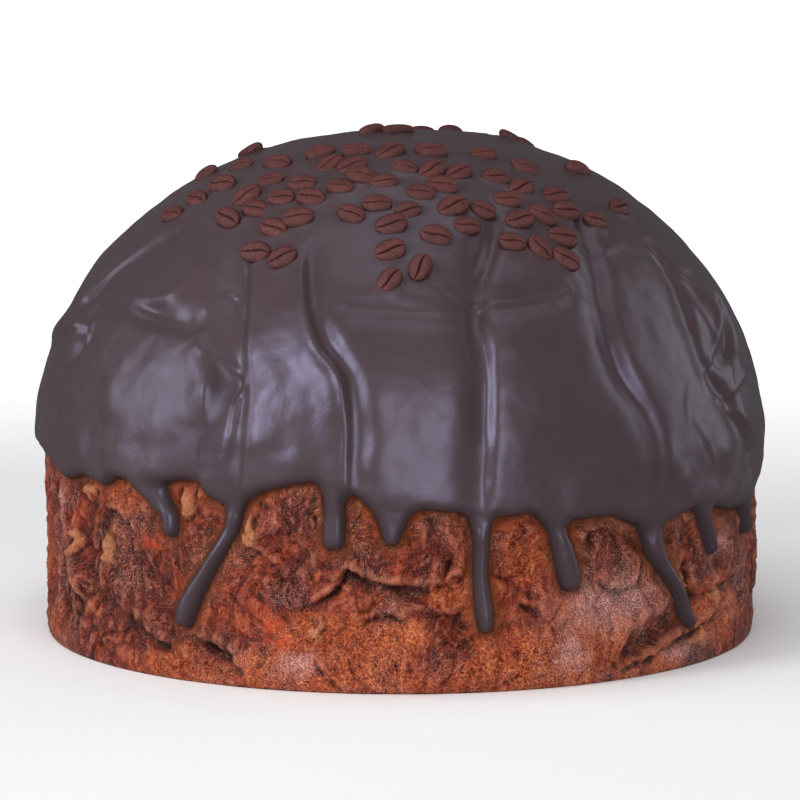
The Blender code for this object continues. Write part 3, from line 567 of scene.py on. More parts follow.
def beanPlaces():
    # azimuth, radius, swing and whether the domed side is up: those in front, then seeded ones on the far side
    draw = np.random.default_rng(beans["placeSeed"])
    places = [(*place, False) for place in beans["front"]] + [(*place, True) for place in beans["frontTurned"]]
    taken = [planSpot(azimuth, radius) for azimuth, radius, *_ in places]
    tilt = math.radians(camera["elevation"])
    for _ in range(beans["tries"]):
        azimuth = draw.uniform(-180, 180)
        radius = beans["field"] * math.sqrt(draw.uniform(0, 1))
        swing = draw.normal(0, beans["swing"])
        turned = draw.uniform(0, 1) < beans["turned"]
        spot = planSpot(azimuth, radius)
        run = runAtRadius(radius)
        normal = (skinAt(azimuth, run, 0.01) - skinAt(azimuth, run)) / 0.01
        facing = normal[2] * math.sin(tilt) - normal[1] * math.cos(tilt)
        if facing < beans["unseen"] and min(math.dist(spot, other) for other in taken) > beans["spacing"]:
            taken.append(spot)
            places.append((azimuth, radius, swing, turned))
    print(f"beans: {len(places)}")
    return places


def bridgeRows(lower, upper):
    # quads between two rows of vertex numbers, or triangles and quads where the upper has half as many
    if len(lower) == len(upper):
        quads = np.stack([lower, np.roll(lower, -1), np.roll(upper, -1), upper], axis=1)
        return [tuple(face) for face in quads.tolist()]
    left, middle, right = lower[::2], lower[1::2], np.roll(lower[::2], -1)
    triangles = np.stack([left, middle, upper], axis=1).tolist()
    quads = np.stack([middle, right, np.roll(upper, -1), upper], axis=1).tolist()
    return [tuple(face) for face in triangles + quads]


def fanRow(row, centre):
    return [(a, b, centre) for a, b in zip(row.tolist(), np.roll(row, -1).tolist())]


def closeDome(turns, last, total, lowest, lift):
    # few rows of points up to the crown, their columns halved row by row, then a fan of triangles
    parts, faces = [], []
    for share in loaf["hiddenRows"]:
        turns = turns[::2] if len(turns) > loaf["fewestColumns"] else turns
        parts.append(skinAt(turns, np.full(len(turns), lowest + (crownRun - lowest) * share), lift))
        row = np.arange(total, total + len(turns))
        faces += bridgeRows(last, row)
        total += len(turns)
        last = row
    parts.append(np.array([[0, 0, loaf["height"] + lift]]))
    return parts, faces + fanRow(last, total), total + 1


def newPiece(name, points, faces, attributes, material):
    mesh = bpy.data.meshes.new(name)
    mesh.from_pydata(points, [], faces)
    mesh.materials.append(material)
    for key, values in attributes.items():
        kind, field = ("FLOAT", "value") if values.ndim == 1 else ("FLOAT_VECTOR", "vector")
        mesh.attributes.new(key, kind, "POINT").data.foreach_set(field, values.astype(np.float32).ravel())
    mesh.shade_smooth()
    made = bpy.data.objects.new(name, mesh)
    bpy.context.scene.collection.objects.link(made)
    mesh.calc_loop_triangles()
    print(f"{name}: {len(mesh.vertices)} vertices, {len(mesh.loop_triangles)} triangles")
    return made


# Crust
def blurGrid(values, reach, rounds=2):
    # box blur over a grid that wraps round in its columns
    for _ in range(rounds):
        total = np.zeros_like(values)
        for shift in range(-reach, reach + 1):
            total += np.roll(values, shift, axis=1)
        values = total / (2 * reach + 1)
        padded = np.pad(values, ((reach, reach), (0, 0)), mode="edge")
        total = np.zeros_like(values)
        for shift in range(2 * reach + 1):
            total += padded[shift:shift + len(values)]
        values = total / (2 * reach + 1)
    return values


# Patches of the crust: azimuth, height, half width and half height. Those behind are drawn from a seed, a count
# and the ranges of their half widths, half heights and heights.
patches = {
    "torn": {  # where the porous crumb shows
        "front": [(-12, 0.006, 0.012, 0.008), (44, 0.004, 0.020, 0.006), (-4, 0.010, 0.034, 0.013),
                  (24, 0.008, 0.030, 0.012), (8, 0.038, 0.010, 0.014), (20, 0.042, 0.008, 0.010),
                  (62, 0.012, 0.018, 0.012), (-32, 0.004, 0.030, 0.006), (-72, 0.006, 0.020, 0.008),
                  (-50, 0.052, 0.014, 0.005)],
        "behind": (201, 9, (0.012, 0.034), (0.006, 0.014), (0.004, 0.045)),
    },
    "pale": {
        "front": [(-52.8, 0.0370, 0.0032, 0.0075), (-64, 0.0345, 0.0026, 0.0045), (-24, 0.0470, 0.0018, 0.0058),
                  (-35, 0.0535, 0.0040, 0.0056), (-6, 0.0580, 0.0020, 0.0026), (-60, 0.0520, 0.004, 0.003),
                  (56, 0.0080, 0.006, 0.003), (62, 0.0190, 0.005, 0.002), (-12.5, 0.0190, 0.0013, 0.0045)],
        "behind": (202, 9, (0.0015, 0.006), (0.003, 0.006), (0.008, 0.05)),
    },
    # sheen: patches where a painted highlight, a paler pinkish colour, lies on the skin
    "sheen": {  # where the skin shines
        "front": [(34, 0.0235, 0.0150, 0.0075), (39, 0.0250, 0.0070, 0.0060), (27.5, 0.0110, 0.0040, 0.0060),
                  (-15.8, 0.0085, 0.0050, 0.0030), (64, 0.0340, 0.0040, 0.0030), (-70, 0.0420, 0.0030, 0.0080),
                  (50, 0.0050, 0.0060, 0.0020), (33, 0.0250, 0.0050, 0.0035)],
        "behind": (204, 8, (0.003, 0.012), (0.003, 0.008), (0.006, 0.045)),
    },
    "plum": {  # where it is darkest
        "front": [(-55.5, 0.0440, 0.010, 0.007), (-43, 0.0400, 0.012, 0.008), (-60, 0.0200, 0.014, 0.011),
                  (-49, 0.0170, 0.016, 0.011), (-41, 0.0150, 0.008, 0.009), (-35, 0.0370, 0.007, 0.006),
                  (-23, 0.0470, 0.008, 0.007), (-15, 0.0450, 0.006, 0.008), (-31, 0.0110, 0.007, 0.006),
                  (-3, 0.0430, 0.010, 0.006), (8, 0.0440, 0.006, 0.008), (12, 0.0400, 0.005, 0.006),
                  (19, 0.0470, 0.004, 0.004), (36, 0.0420, 0.008, 0.005), (66, 0.0380, 0.014, 0.012),
                  (4, 0.0115, 0.007, 0.004), (29, 0.0400, 0.012, 0.008), (48, 0.0400, 0.007, 0.010),
                  (4, 0.0400, 0.008, 0.010), (-66, 0.0110, 0.012, 0.012), (-42, 0.0300, 0.007, 0.008)],
        "behind": (205, 9, (0.008, 0.026), (0.006, 0.014), (0.004, 0.045)),
    },
    "red": {
        "front": [(-20.5, 0.0195, 0.0026, 0.0036), (-18, 0.0150, 0.003, 0.002), (45, 0.0165, 0.004, 0.005),
                  (-43, 0.040, 0.005, 0.003)],
        "behind": (203, 4, (0.003, 0.004), (0.003, 0.004), (0.008, 0.04)),
    },
}
# What is finer than the crags: height on the skin, and where the crumb shows
crustRelief = {
    "fibres": (0.00020, 0.00012),
    "ledges": (0.00065, 0.00040),
    "wrinkles": (0.00030, 0.00040),
    "grain": (0.00006, 0.00026),
    "tears": (-0.0006, -0.0004),
    "pores": (0, -0.0006),
    "plates": (0.0006, 0.00027),
    "streaks": (0.00085, 0.000255),
}


def backPatches(seed, count, widths, heights, rise):
    draw = np.random.default_rng(seed)
    return [(draw.uniform(back["first"] - 4, back["last"] + 4), draw.uniform(*rise), draw.uniform(*widths),
             draw.uniform(*heights)) for _ in range(count)]


def patchesAt(azimuth, run, kind):
    # the largest of exp(-(distance across / half width)^2 - (distance up / half height)^2)
    total = np.zeros(azimuth.shape)
    for centre, height, halfWidth, halfHeight in patches[kind]["front"] + backPatches(*patches[kind]["behind"]):
        across = apart(azimuth, centre) * perDegree / halfWidth
        total = np.maximum(total, np.exp(-(across**2) - ((run - height) / halfHeight) ** 2))
    return total


def allCracks():
    # the cracks of the front, and seeded ones like them behind
    draw = np.random.default_rng(backCracks["seed"])
    found = list(cracks)
    for _ in range(backCracks["count"]):
        azimuth = draw.uniform(back["first"] - 4, back["last"] + 4)
        height = draw.uniform(*backCracks["heights"])
        shifts = draw.uniform(-backCracks["reach"], backCracks["reach"], 3)
        rises = draw.uniform(-backCracks["rise"], backCracks["rise"], 3)
        stations = [(azimuth + shift, float(np.clip(height + rise, 0.001, 0.05))) for shift, rise in
                    zip(np.sort(shifts), rises)]
        found.append((draw.uniform(*backCracks["depths"]), draw.uniform(*backCracks["halfWidths"]), *stations))
    return found


def addCracks(total, azimuth, run, wander, strength):
    # on the unrolled wall, -depth * exp(-(distance / half width)^2): three times as wide to the right of the
    # crack's course as to the left of it, where a lip stands up. The result is 1 in a crack and -1 on a lip: the
    # material paints shade in the crack and a highlight on the lip from it.
    marks = np.zeros(len(total))
    for depth, halfWidth, *stations in allCracks():
        line = smoothLine(stations, 3)
        middle = line[:, 0].mean()
        reach = np.abs(line[:, 0] - middle).max() + np.degrees(crackForm["across"] * halfWidth / loaf["radius"])
        margin = crackForm["up"] * halfWidth
        near = np.abs(apart(azimuth, middle)) < reach
        near &= (run > line[:, 1].min() - margin) & (run < line[:, 1].max() + margin)
        across = np.radians(apart(azimuth[near], middle)) * loaf["radius"] + wander[0][near]
        here = np.stack([across, run[near] + wander[1][near]], axis=1)
        ends = np.stack([np.radians(line[:, 0] - middle) * loaf["radius"], line[:, 1]], axis=1)
        nearest, place, left = nearestOnLine(here, ends, here, ends)
        nearest /= halfWidth
        fade = np.sin(math.pi * np.clip(place, 0.03, 0.97)) ** 0.5 * strength[near]
        lip = np.exp(-((nearest - crackForm["lipPlace"]) ** 2))
        steepSide = np.exp(-((nearest / crackForm["steep"]) ** 2))
        gentleSide = np.exp(-((nearest / crackForm["gentle"]) ** 2))
        rise = np.where(left > 0, steepSide - crackForm["lip"] * lip, gentleSide)
        total[near] -= depth * fade * rise
        mark = np.where(left > 0, steepSide - lip, np.exp(-((nearest / crackForm["dark"]) ** 2)))
        marks[near] = np.where(np.abs(mark * fade) > np.abs(marks[near]), mark * fade, marks[near])
    return marks


def crustDetail(azimuth, run, points, torn):
    # what is finer than the crags: swirled fibres, overlapping torn layers, wrinkles, tears, cracks and pores
    swirl = np.stack([fractalAt(points, 0.020, seed, 2) for seed in (31, 32, 33)], axis=1)
    wobble = np.stack([noiseAt(points, 0.0045, seed) for seed in (34, 35, 36)], axis=1)
    bent = points + 0.006 * swirl + 0.0010 * wobble
    fibres = fractalAt(bent * np.array([1, 1, 0.25]), 0.0024, 41, 2)
    layers = fractalAt(bent * np.array([1, 1, 0.7]), 0.014, 51, 3) * 2.6 + run / 0.020
    ledges = layers - np.floor(layers)
    ledges = np.where(ledges > 0.90, (1 - ledges) / 0.10, ledges / 0.90) - 0.5
    wrinkles = 1 - 2 * np.abs(fractalAt(bent * np.array([1, 1, 0.6]), 0.0056, 61, 3))
    tears = smoothStep(0.13, 0.0, np.abs(fractalAt(bent * np.array([1, 1, 0.8]), 0.0125, 65, 4)))
    tears *= smoothStep(-0.15, 0.25, fractalAt(points, 0.015, 67, 2))
    pores = smoothStep(0.42, 0.12, cellsAt(points + 0.0008 * swirl, 0.0030, 81)[0])
    pores *= fractalAt(points, 0.012, 91, 2) > 0.05
    grain = fractalAt(points, 0.0017, 95, 2)
    upright = 0.62  # the plates are taller than wide by this share
    first, second, away, tone = cellsAt(bent * np.array([1, 1, upright]), 0.0125, 83)
    plates = tone - first - 0.05 - smoothStep(0.16, 0.0, second - first) / 1.2
    # long streaks that lean towards the foot's middle, by turning the points about Z as they rise
    turn = np.radians(azimuth)
    leant = turn + 0.50 * run * np.sin(turn) / loaf["radius"]
    drawn = np.stack([loaf["radius"] * np.sin(leant), -loaf["radius"] * np.cos(leant), 0.24 * run], axis=1)
    streaks = fractalAt(drawn + 0.0035 * swirl + 0.0006 * wobble, 0.0042, 47, 3)
    streaked = noiseAt(points, 0.045, 48) + 0.6 * smoothStep(-18, -42, azimuth)
    streaks *= 0.35 + 0.85 * smoothStep(-0.10, 0.30, streaked)
    shapes = {"fibres": fibres, "ledges": ledges, "wrinkles": wrinkles, "grain": grain, "tears": tears,
              "pores": pores, "plates": plates, "streaks": streaks}
    total = np.zeros(len(points))
    for name, (onSkin, onCrumb) in crustRelief.items():
        total += shapes[name] * (onSkin + (onCrumb - onSkin) * torn)
    # fibres run at each plate's own slant: distances across and along them, in metres
    across = away[:, 0] * np.cos(turn) + away[:, 1] * np.sin(turn)
    up = away[:, 2] / upright
    slant = np.radians(60 * noiseAt(points, 0.030, 45) - 22 * np.sin(turn))
    fibre = np.stack([across * np.cos(slant) - up * np.sin(slant),
                      across * np.sin(slant) + up * np.cos(slant), tone], axis=1)
    wander = [0.0010 * wobble[:, number] + 0.0004 * noiseAt(points, 0.0020, 43 + number) for number in (0, 1)]
    strength = 0.40 + 1.3 * np.abs(noiseAt(points, 0.0070, 40))
    marks = addCracks(total, azimuth, run, wander, strength)
    return total, fibre, tone, marks, streaks


def makeCrust(material):
    count = crust["columns"]
    turns = columnTurns(count)
    runs = np.arange(0, crust["top"], crust["step"])
    azimuth, run = (grid.ravel() for grid in np.meshgrid(turns, runs))
    points = skinAt(azimuth, run)
    depth = chocolateDepth(azimuth, run)
    torn = smoothStep(0.25, 0.60, patchesAt(azimuth, run, "torn") + 0.35 * fractalAt(points, 0.014, 101, 3))
    shift = crust["raggedness"] * fractalAt(points, 0.004, 111, 2)
    moved = azimuth + shift / perDegree
    pale = smoothStep(0.30, 0.75, patchesAt(moved, run + shift[::-1], "pale"))
    plum, red, sheen = (patchesAt(moved, run, kind) for kind in ("plum", "red", "sheen"))
    detail, fibre, plate, marks, streaks = crustDetail(azimuth, run, points, torn)
    covered = smoothStep(-0.0028, -0.0003, depth)
    detail *= 1 - covered
    bulge = crust["paleBulge"] * smoothStep(0.3, 0.9, pale) * (1 - covered)
    coarse = softRelief(azimuth, run, points) + cragRelief(azimuth, run, points, depth) + bulge
    lift = (coarse + detail - crust["underDrips"] * covered) * footFade(run)
    fineGrid = (coarse + detail).reshape(len(runs), count)
    # how far the relief sinks below a blurred copy of itself, finely (hollow) and broadly (deep): the material
    # paints shade into the hollows from both, and a highlight onto the crests where hollow is below zero
    hollow = (blurGrid(fineGrid, 3) - fineGrid).ravel() / 0.0006
    deep = (blurGrid(fineGrid, 12) - blurGrid(fineGrid, 2)).ravel() / 0.0016
    fine = skinAt(azimuth, run, lift)
    values = {"torn": torn * (1 - plum), "pale": pale, "plum": plum, "red": red, "sheen": sheen, "plate": plate,
              "fibre": fibre, "streak": streaks, "hollow": hollow, "deep": deep, "crack": marks * (1 - covered),
              # near the chocolate: the crust's own amber, and a painted shadow right along its edge
              "halo": np.exp(-np.abs(depth) / 0.0026), "glazeShadow": np.exp(-((depth / 0.0012) ** 2))}
    rows = np.arange(len(runs) * count).reshape(len(runs), count)
    faces = []
    for lower, upper in zip(rows, rows[1:]):
        faces += bridgeRows(lower, upper)
    # the dome under the chocolate
    parts, domeFaces, total = closeDome(turns, rows[-1], len(fine), crust["top"], -loaf["underGlaze"])
    allPoints = [fine] + parts
    faces += domeFaces
    # the flat base, closed towards its middle
    last = rows[0]
    for share in crust["baseRings"]:
        turns = turns[::2] if len(turns) > loaf["fewestColumns"] else turns
        allPoints.append(skinAt(turns, np.zeros(len(turns))) * (share, share, 0))
        row = np.arange(total, total + len(turns))
        faces += [face[::-1] for face in bridgeRows(last, row)]
        total += len(turns)
        last = row
    allPoints.append(np.zeros((1, 3)))
    faces += [face[::-1] for face in fanRow(last, total)]
    total += 1
    points = np.vstack(allPoints)
    spread = {key: np.concatenate([value, np.zeros((total - len(value), *value.shape[1:]))])
              for key, value in values.items()}
    piece = newPiece("crust", points, faces, spread, material)
    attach(piece, "root")
    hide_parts("bread")
    return piece


# Chocolate
def glazeRelief(azimuth, run, points, depth):
    # the loaf's unevenness, waves in the chocolate, and on the wall what is left of the crags under the drips
    waves = glaze["waves"] * fractalAt(points * np.array([1, 1, 0.6]), glaze["waveSize"], 301, 2)
    waves += glaze["ripples"] * fractalAt(points, glaze["rippleSize"], 303, 2)
    draw = np.random.default_rng(backBlisters["seed"])
    behind = [(draw.uniform(back["first"] - 6, back["last"] + 6),
               *(draw.uniform(*backBlisters[key]) for key in ("heights", "halfWidths", "rises")))
              for _ in range(backBlisters["count"])]
    for turn, height, halfWidth, rise in blisters + behind:
        near = (np.abs(apart(azimuth, turn)) < 16) & (np.abs(run - runAtHeight(height)) < 3 * halfWidth)
        away = points[near] - skinAt(turn, runAtHeight(height))
        waves[near] += rise * np.exp(-(away**2).sum(axis=1) / halfWidth**2)
    waves *= smoothStep(0.0, 0.02, crownRun - run)
    for height, halfWidth, *stations in fineRidges + backRidges():
        height, halfWidth = glaze["ridgeHeight"] * height, glaze["ridgeWidth"] * halfWidth
        addLineRelief(waves, azimuth, run, points, -height, halfWidth, stations)
    return softRelief(azimuth, run, points) + cragRelief(azimuth, run, points, depth) + waves


def meniscus(points, places):
    # chocolate drawn up round each bean
    total = np.zeros(len(points))
    for azimuth, radius, _, _ in places:
        spot = skinAt(azimuth, float(runAtRadius(radius)), 0.002)
        near = (np.abs(points - spot) < 0.012).all(axis=1)
        distance = np.linalg.norm(points[near] - spot, axis=1)
        rise = np.exp(-((np.maximum(distance - glaze["seatFrom"], 0) / glaze["seatFade"]) ** 2))
        total[near] = np.maximum(total[near], glaze["seat"] * rise)
    return total


def makeGlaze(material, places):
    count = glaze["columns"]
    turns = columnTurns(count)
    runs = np.arange(glaze["bandLow"], glaze["bandHigh"], glaze["bandStep"])
    gridTurns, gridRuns = np.meshgrid(turns, runs)
    depth = chocolateDepth(gridTurns.ravel(), gridRuns.ravel()).reshape(gridTurns.shape)
    # grid points close to the outline move onto it, down or up the slope of the depth
    cellAcross = np.radians(apart(np.roll(turns, -1), np.roll(turns, 1))) * loaf["radius"] / 2
    slopeAcross = (np.roll(depth, -1, axis=1) - np.roll(depth, 1, axis=1)) / (2 * cellAcross)
    slopeUp = np.gradient(depth, glaze["bandStep"], axis=0)
    steep = np.maximum(slopeAcross**2 + slopeUp**2, 0.25)
    reach = 0.48 * np.sqrt(((slopeAcross * cellAcross) ** 2 + (slopeUp * glaze["bandStep"]) ** 2) / steep)
    snapped = (np.abs(depth) < reach) & (gridRuns < glaze["bandHigh"] - 0.003)
    gridTurns = gridTurns - np.where(snapped, np.degrees(depth * slopeAcross / steep / loaf["radius"]), 0)
    gridRuns = gridRuns - np.where(snapped, depth * slopeUp / steep, 0)
    depth = np.where(snapped, 0, depth)
    kept = depth >= 0
    numbers = np.arange(kept.size).reshape(kept.shape)
    corners = np.stack([numbers[:-1], np.roll(numbers, -1, axis=1)[:-1], np.roll(numbers, -1, axis=1)[1:],
                        numbers[1:]], axis=-1).reshape(-1, 4)
    flags = kept.ravel()[corners]
    inner = depth.ravel()[corners].max(axis=1) > 0.3 * glaze["bandStep"]
    faces = [tuple(face) for face in corners[flags.all(axis=1) & inner].tolist()]
    for missing in range(4):
        rest = [corner for corner in range(4) if corner != missing]
        three = ~flags[:, missing] & flags[:, rest].all(axis=1) & inner
        faces += [tuple(face) for face in corners[three][:, rest].tolist()]
    azimuth, run, depth = gridTurns.ravel(), gridRuns.ravel(), depth.ravel()
    total = len(azimuth)
    last = numbers[-1]
    innerFaces = list(faces)
    columns = count
    here = runs[-1] + 0.0011
    outerParts = []
    while here < crownRun - 0.004:
        radius = profileAt(here)[0]
        spacing = 2 * math.pi * radius / columns
        if spacing < 0.60 * glaze["domeStep"] and columns > 28:
            columns //= 2
        rowTurns = columnTurns(columns)
        row = np.arange(total, total + columns)
        faces += bridgeRows(last, row)
        outerParts.append((rowTurns, np.full(columns, here)))
        total += columns
        last = row
        here += min(glaze["domeStep"], max(0.0011, 1.25 * spacing))
    faces += fanRow(last, total)
    total += 1
    outerTurns = np.concatenate([azimuth] + [part[0] for part in outerParts] + [[0.0]])
    outerRuns = np.concatenate([run] + [part[1] for part in outerParts] + [[crownRun]])
    outerDepth = np.concatenate([depth, np.full(total - len(depth), 1.0)])
    points = skinAt(outerTurns, outerRuns)
    relief = glazeRelief(outerTurns, outerRuns, points, outerDepth)
    thickness = gatheredThickness(outerTurns, outerRuns, outerDepth)
    seat = skinAt(outerTurns, outerRuns, 0.002)
    lift = (relief * footFade(outerRuns)) + thickness + meniscus(seat, places)
    outer = skinAt(outerTurns, outerRuns, lift)
    # the underside: the same band, then few rows up to the crown
    bandPoints = skinAt(azimuth, run, (relief[:len(azimuth)] * footFade(run)) - glaze["tuck"] - 0.0004)
    parts, domeFaces, _ = closeDome(turns, numbers[-1], len(azimuth), runs[-1], 0.0004 - loaf["underGlaze"])
    innerFaces += domeFaces
    innerPoints = np.vstack([bandPoints] + parts)
    # the rim joins each open edge of the outer sheet to the same edge below
    heads, tails = (
        np.concatenate([np.array([face[(at + step) % len(face)] for face in faces if len(face) > at])
                        for at in range(4)]) for step in (0, 1))
    code = heads * (total + 1) + tails
    unmatched = ~np.isin(tails * (total + 1) + heads, code)
    rim = [(tail, head, total + head, total + tail)
           for head, tail in zip(heads[unmatched].tolist(), tails[unmatched].tolist())]
    allFaces = faces + [tuple(total + number for number in face[::-1]) for face in innerFaces] + rim
    allPoints = np.vstack([outer, innerPoints])
    used = np.unique(np.concatenate([np.array(face) for face in allFaces]))
    renumber = np.full(len(allPoints), -1)
    renumber[used] = np.arange(len(used))
    allFaces = [tuple(renumber[list(face)].tolist()) for face in allFaces]
    values = {"depth": np.concatenate([outerDepth, np.zeros(len(innerPoints))])[used]}
    piece = newPiece("chocolate_glaze", allPoints[used], allFaces, values, material)
    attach(piece, "root")
    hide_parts("glaze")
    return piece


# Coffee beans
def beanShape(turnedOver):
    # a cross-section carried along the bean: flat and creased on one side, round on the other. The crease
    # swings from side to side along the bean, and both ends close in a point.
    stations = beans["stations"]
    along = -np.cos(np.linspace(0, math.pi, stations))
    top = np.array([0, 0.06, 0.13, 0.22, 0.36, 0.55, 0.74, 0.89, 0.98])
    under = np.array([1.0, 0.90, 0.68, 0.36])
    across = np.concatenate([top, under, [0], -under[::-1], -top[:0:-1]])
    upper = np.concatenate([np.ones(len(top)), np.zeros(2 * len(under) + 1), np.ones(len(top) - 1)])
    size = np.abs(across)
    flat = beans["flat"] * (1 - size**3.4) ** 0.6
    belly = -beans["belly"] * (1 - size**2) ** 0.5
    section = np.where(upper > 0, flat, belly)
    half = np.sqrt(np.maximum(1 - np.abs(along) ** 2.25, 0)) * (1 + 0.05 * along)
    crease = np.exp(-((size / beans["creaseWidth"]) ** 2)) * upper
    depth = beans["crease"] * (1 - np.abs(along) ** 8)
    lengthwise = beans["length"] / 2 * along
    wide = beans["width"] / 2 * half
    swing = 0.10 * np.sin(3.0 * along) * beans["width"] / 2
    x = np.repeat(lengthwise[:, None], len(across), axis=1)
    y = wide[:, None] * across[None, :] + (swing * half)[:, None] * (1 - size[None, :]) * upper[None, :]
    z = (half**0.75)[:, None] * beans["width"] / 2 * (section[None, :] - depth[:, None] * crease[None, :])
    lift = beans["proud"] - beans["flat"] * beans["width"] / 2
    # 1 in the crease and -1 towards the section's edge; the material paints shade from it in both places
    groove = np.repeat((crease - smoothStep(0.62, 1.0, size))[None, :], stations, axis=0)
    if turnedOver:
        z = -z
        y = -y
        lift = beans["proud"] + 0.0004 - beans["belly"] * beans["width"] / 2
    points = np.stack([x[1:-1], y[1:-1], z[1:-1] + lift], axis=-1).reshape(-1, 3)
    ends = np.array([[lengthwise[0], 0, lift], [lengthwise[-1], 0, lift]])
    points = np.vstack([points, ends])
    grooves = np.concatenate([groove[1:-1].ravel(), [0, 0]])
    rows = np.arange((stations - 2) * len(across)).reshape(stations - 2, len(across))
    faces = []
    for lower, upperRow in zip(rows, rows[1:]):
        faces += bridgeRows(lower, upperRow)
    faces += [face[::-1] for face in fanRow(rows[0], len(points) - 2)]
    faces += fanRow(rows[-1], len(points) - 1)
    return points, faces, grooves


def makeBeans(material, places):
    draw = np.random.default_rng(beans["turnSeed"])
    shapes = {turned: beanShape(turned) for turned in (False, True)}
    allPoints, allFaces, grooves, tones = [], [], [], []
    total = 0
    for azimuth, radius, swing, turnedOver in places:
        run = np.array([float(runAtRadius(radius))])
        place = np.array([azimuth])
        plain = skinAt(place, run)
        lift = glazeRelief(place, run, plain, np.ones(1)) + glaze["thickness"]
        spot = Vector(skinAt(place, run, lift)[0])
        normal = Vector(skinAt(azimuth, run[0], 0.02) - skinAt(azimuth, run[0]))
        swing += draw.normal(0, 4) + (180 if draw.uniform(0, 1) < 0.5 else 0)
        turn = Matrix.Rotation(math.radians(swing), 4, "Z")
        tip = Matrix.Rotation(math.radians(draw.uniform(-beans["tip"], beans["tip"])), 4, "X")
        size = 1 + beans["uneven"] * draw.uniform(-1, 1)
        points, faces, groove = shapes[turnedOver]
        heading = math.radians(azimuth - beans["leanTurn"] * math.sin(math.radians(azimuth)))
        side = Vector((math.cos(heading), math.sin(heading), 0))
        lean = math.radians(beans["lean"]) * min(radius / 0.02, 1)
        normal.rotate(Matrix.Rotation(lean, 3, side))
        # each bean lies nearly along X, turned a little
        normal.normalize()
        acrossAxis = normal.cross(Vector((1, 0, 0))).normalized()
        stand = Matrix((acrossAxis.cross(normal), acrossAxis, normal)).transposed().to_4x4()
        matrix = np.array(Matrix.Translation(spot) @ stand @ turn @ tip @ Matrix.Scale(size, 4))
        allPoints.append(points @ matrix[:3, :3].T + matrix[:3, 3])
        allFaces += [tuple(number + total for number in face) for face in faces]
        grooves.append(groove)
        tones.append(np.full(len(points), (azimuth * 7.31 + radius * 9000) % 1))
        total += len(points)
    values = {"groove": np.concatenate(grooves), "tone": np.concatenate(tones)}
    piece = newPiece("coffee_beans", np.vstack(allPoints), allFaces, values, material)
    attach(piece, "root")
    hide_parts("glaze")
    return piece


# Materials
def fromPhoto(red, green, blue):
    # a colour as a screen shows it, turned to linear light
    def linear(value):
        value /= 255
        return value / 12.92 if value < 0.04045 else ((value + 0.055) / 1.055) ** 2.4
    return (linear(red), linear(green), linear(blue), 1)


def addNode(tree, kind, inputs=None, **settings):
    node = tree.nodes.new(kind)
    for name, value in settings.items():
        setattr(node, name, value)
    for name, value in (inputs or {}).items():
        if isinstance(value, bpy.types.NodeSocket):
            tree.links.new(value, node.inputs[name])
        else:
            node.inputs[name].default_value = value
    return node


def addMath(tree, operation, first, second, clamp=False):
    inputs = {0: first, 1: second}
    return addNode(tree, "ShaderNodeMath", inputs, operation=operation, use_clamp=clamp).outputs[0]


def addSum(tree, first, second, clamp=False):
    return addMath(tree, "ADD", first, second, clamp)


def addProduct(tree, first, second, clamp=False):
    return addMath(tree, "MULTIPLY", first, second, clamp)


def addMix(tree, factor, low, high):
    return addNode(tree, "ShaderNodeMix", {0: factor, 6: low, 7: high}, data_type="RGBA").outputs[2]


def addRange(tree, value, low, high, toLow=0.0, toHigh=1.0):
    inputs = {"Value": value, "From Min": low, "From Max": high, "To Min": toLow, "To Max": toHigh}
    return addNode(tree, "ShaderNodeMapRange", inputs).outputs[0]


def addAttribute(tree, name, low=0.0, high=1.0, toLow=0.0, toHigh=1.0):
    value = addNode(tree, "ShaderNodeAttribute", attribute_name=name).outputs["Fac"]
    if (low, high, toLow, toHigh) != (0, 1, 0, 1):
        value = addRange(tree, value, low, high, toLow, toHigh)
    return value


def newMaterial(name):
    material = bpy.data.materials.new(name)
    material.use_nodes = True
    tree = material.node_tree
    return material, tree, tree.nodes["Principled BSDF"]


def newGroup(name, **inputs):
    # a shader node group that turns a place, and numbers with these defaults, into a value
    group = bpy.data.node_groups.new(name, "ShaderNodeTree")
    group.interface.new_socket("Vector", in_out="INPUT", socket_type="NodeSocketVector")
    for label, value in inputs.items():
        group.interface.new_socket(label, in_out="INPUT", socket_type="NodeSocketFloat").default_value = value
    group.interface.new_socket("Value", in_out="OUTPUT", socket_type="NodeSocketFloat")
    return group, group.nodes.new("NodeGroupInput").outputs


def finishGroup(group, noise, contrast):
    # the noise, spread about its middle and kept from 0 to 1, is what the group puts out
    spread = addProduct(group, addMath(group, "SUBTRACT", noise.outputs["Fac"], 0.5), contrast)
    group.links.new(addSum(group, spread, 0.5, True), group.nodes.new("NodeGroupOutput").inputs[0])
    return group


def mottleGroup():
    # cloudy variation from 0 to 1, with a finer one mixed in
    group, given = newGroup("mottle", Scale=100.0, Contrast=1.0)
    inputs = {"Vector": given["Vector"], "Scale": given["Scale"], "Detail": 5.0, "Roughness": 0.62}
    return finishGroup(group, addNode(group, "ShaderNodeTexNoise", inputs), given["Contrast"])


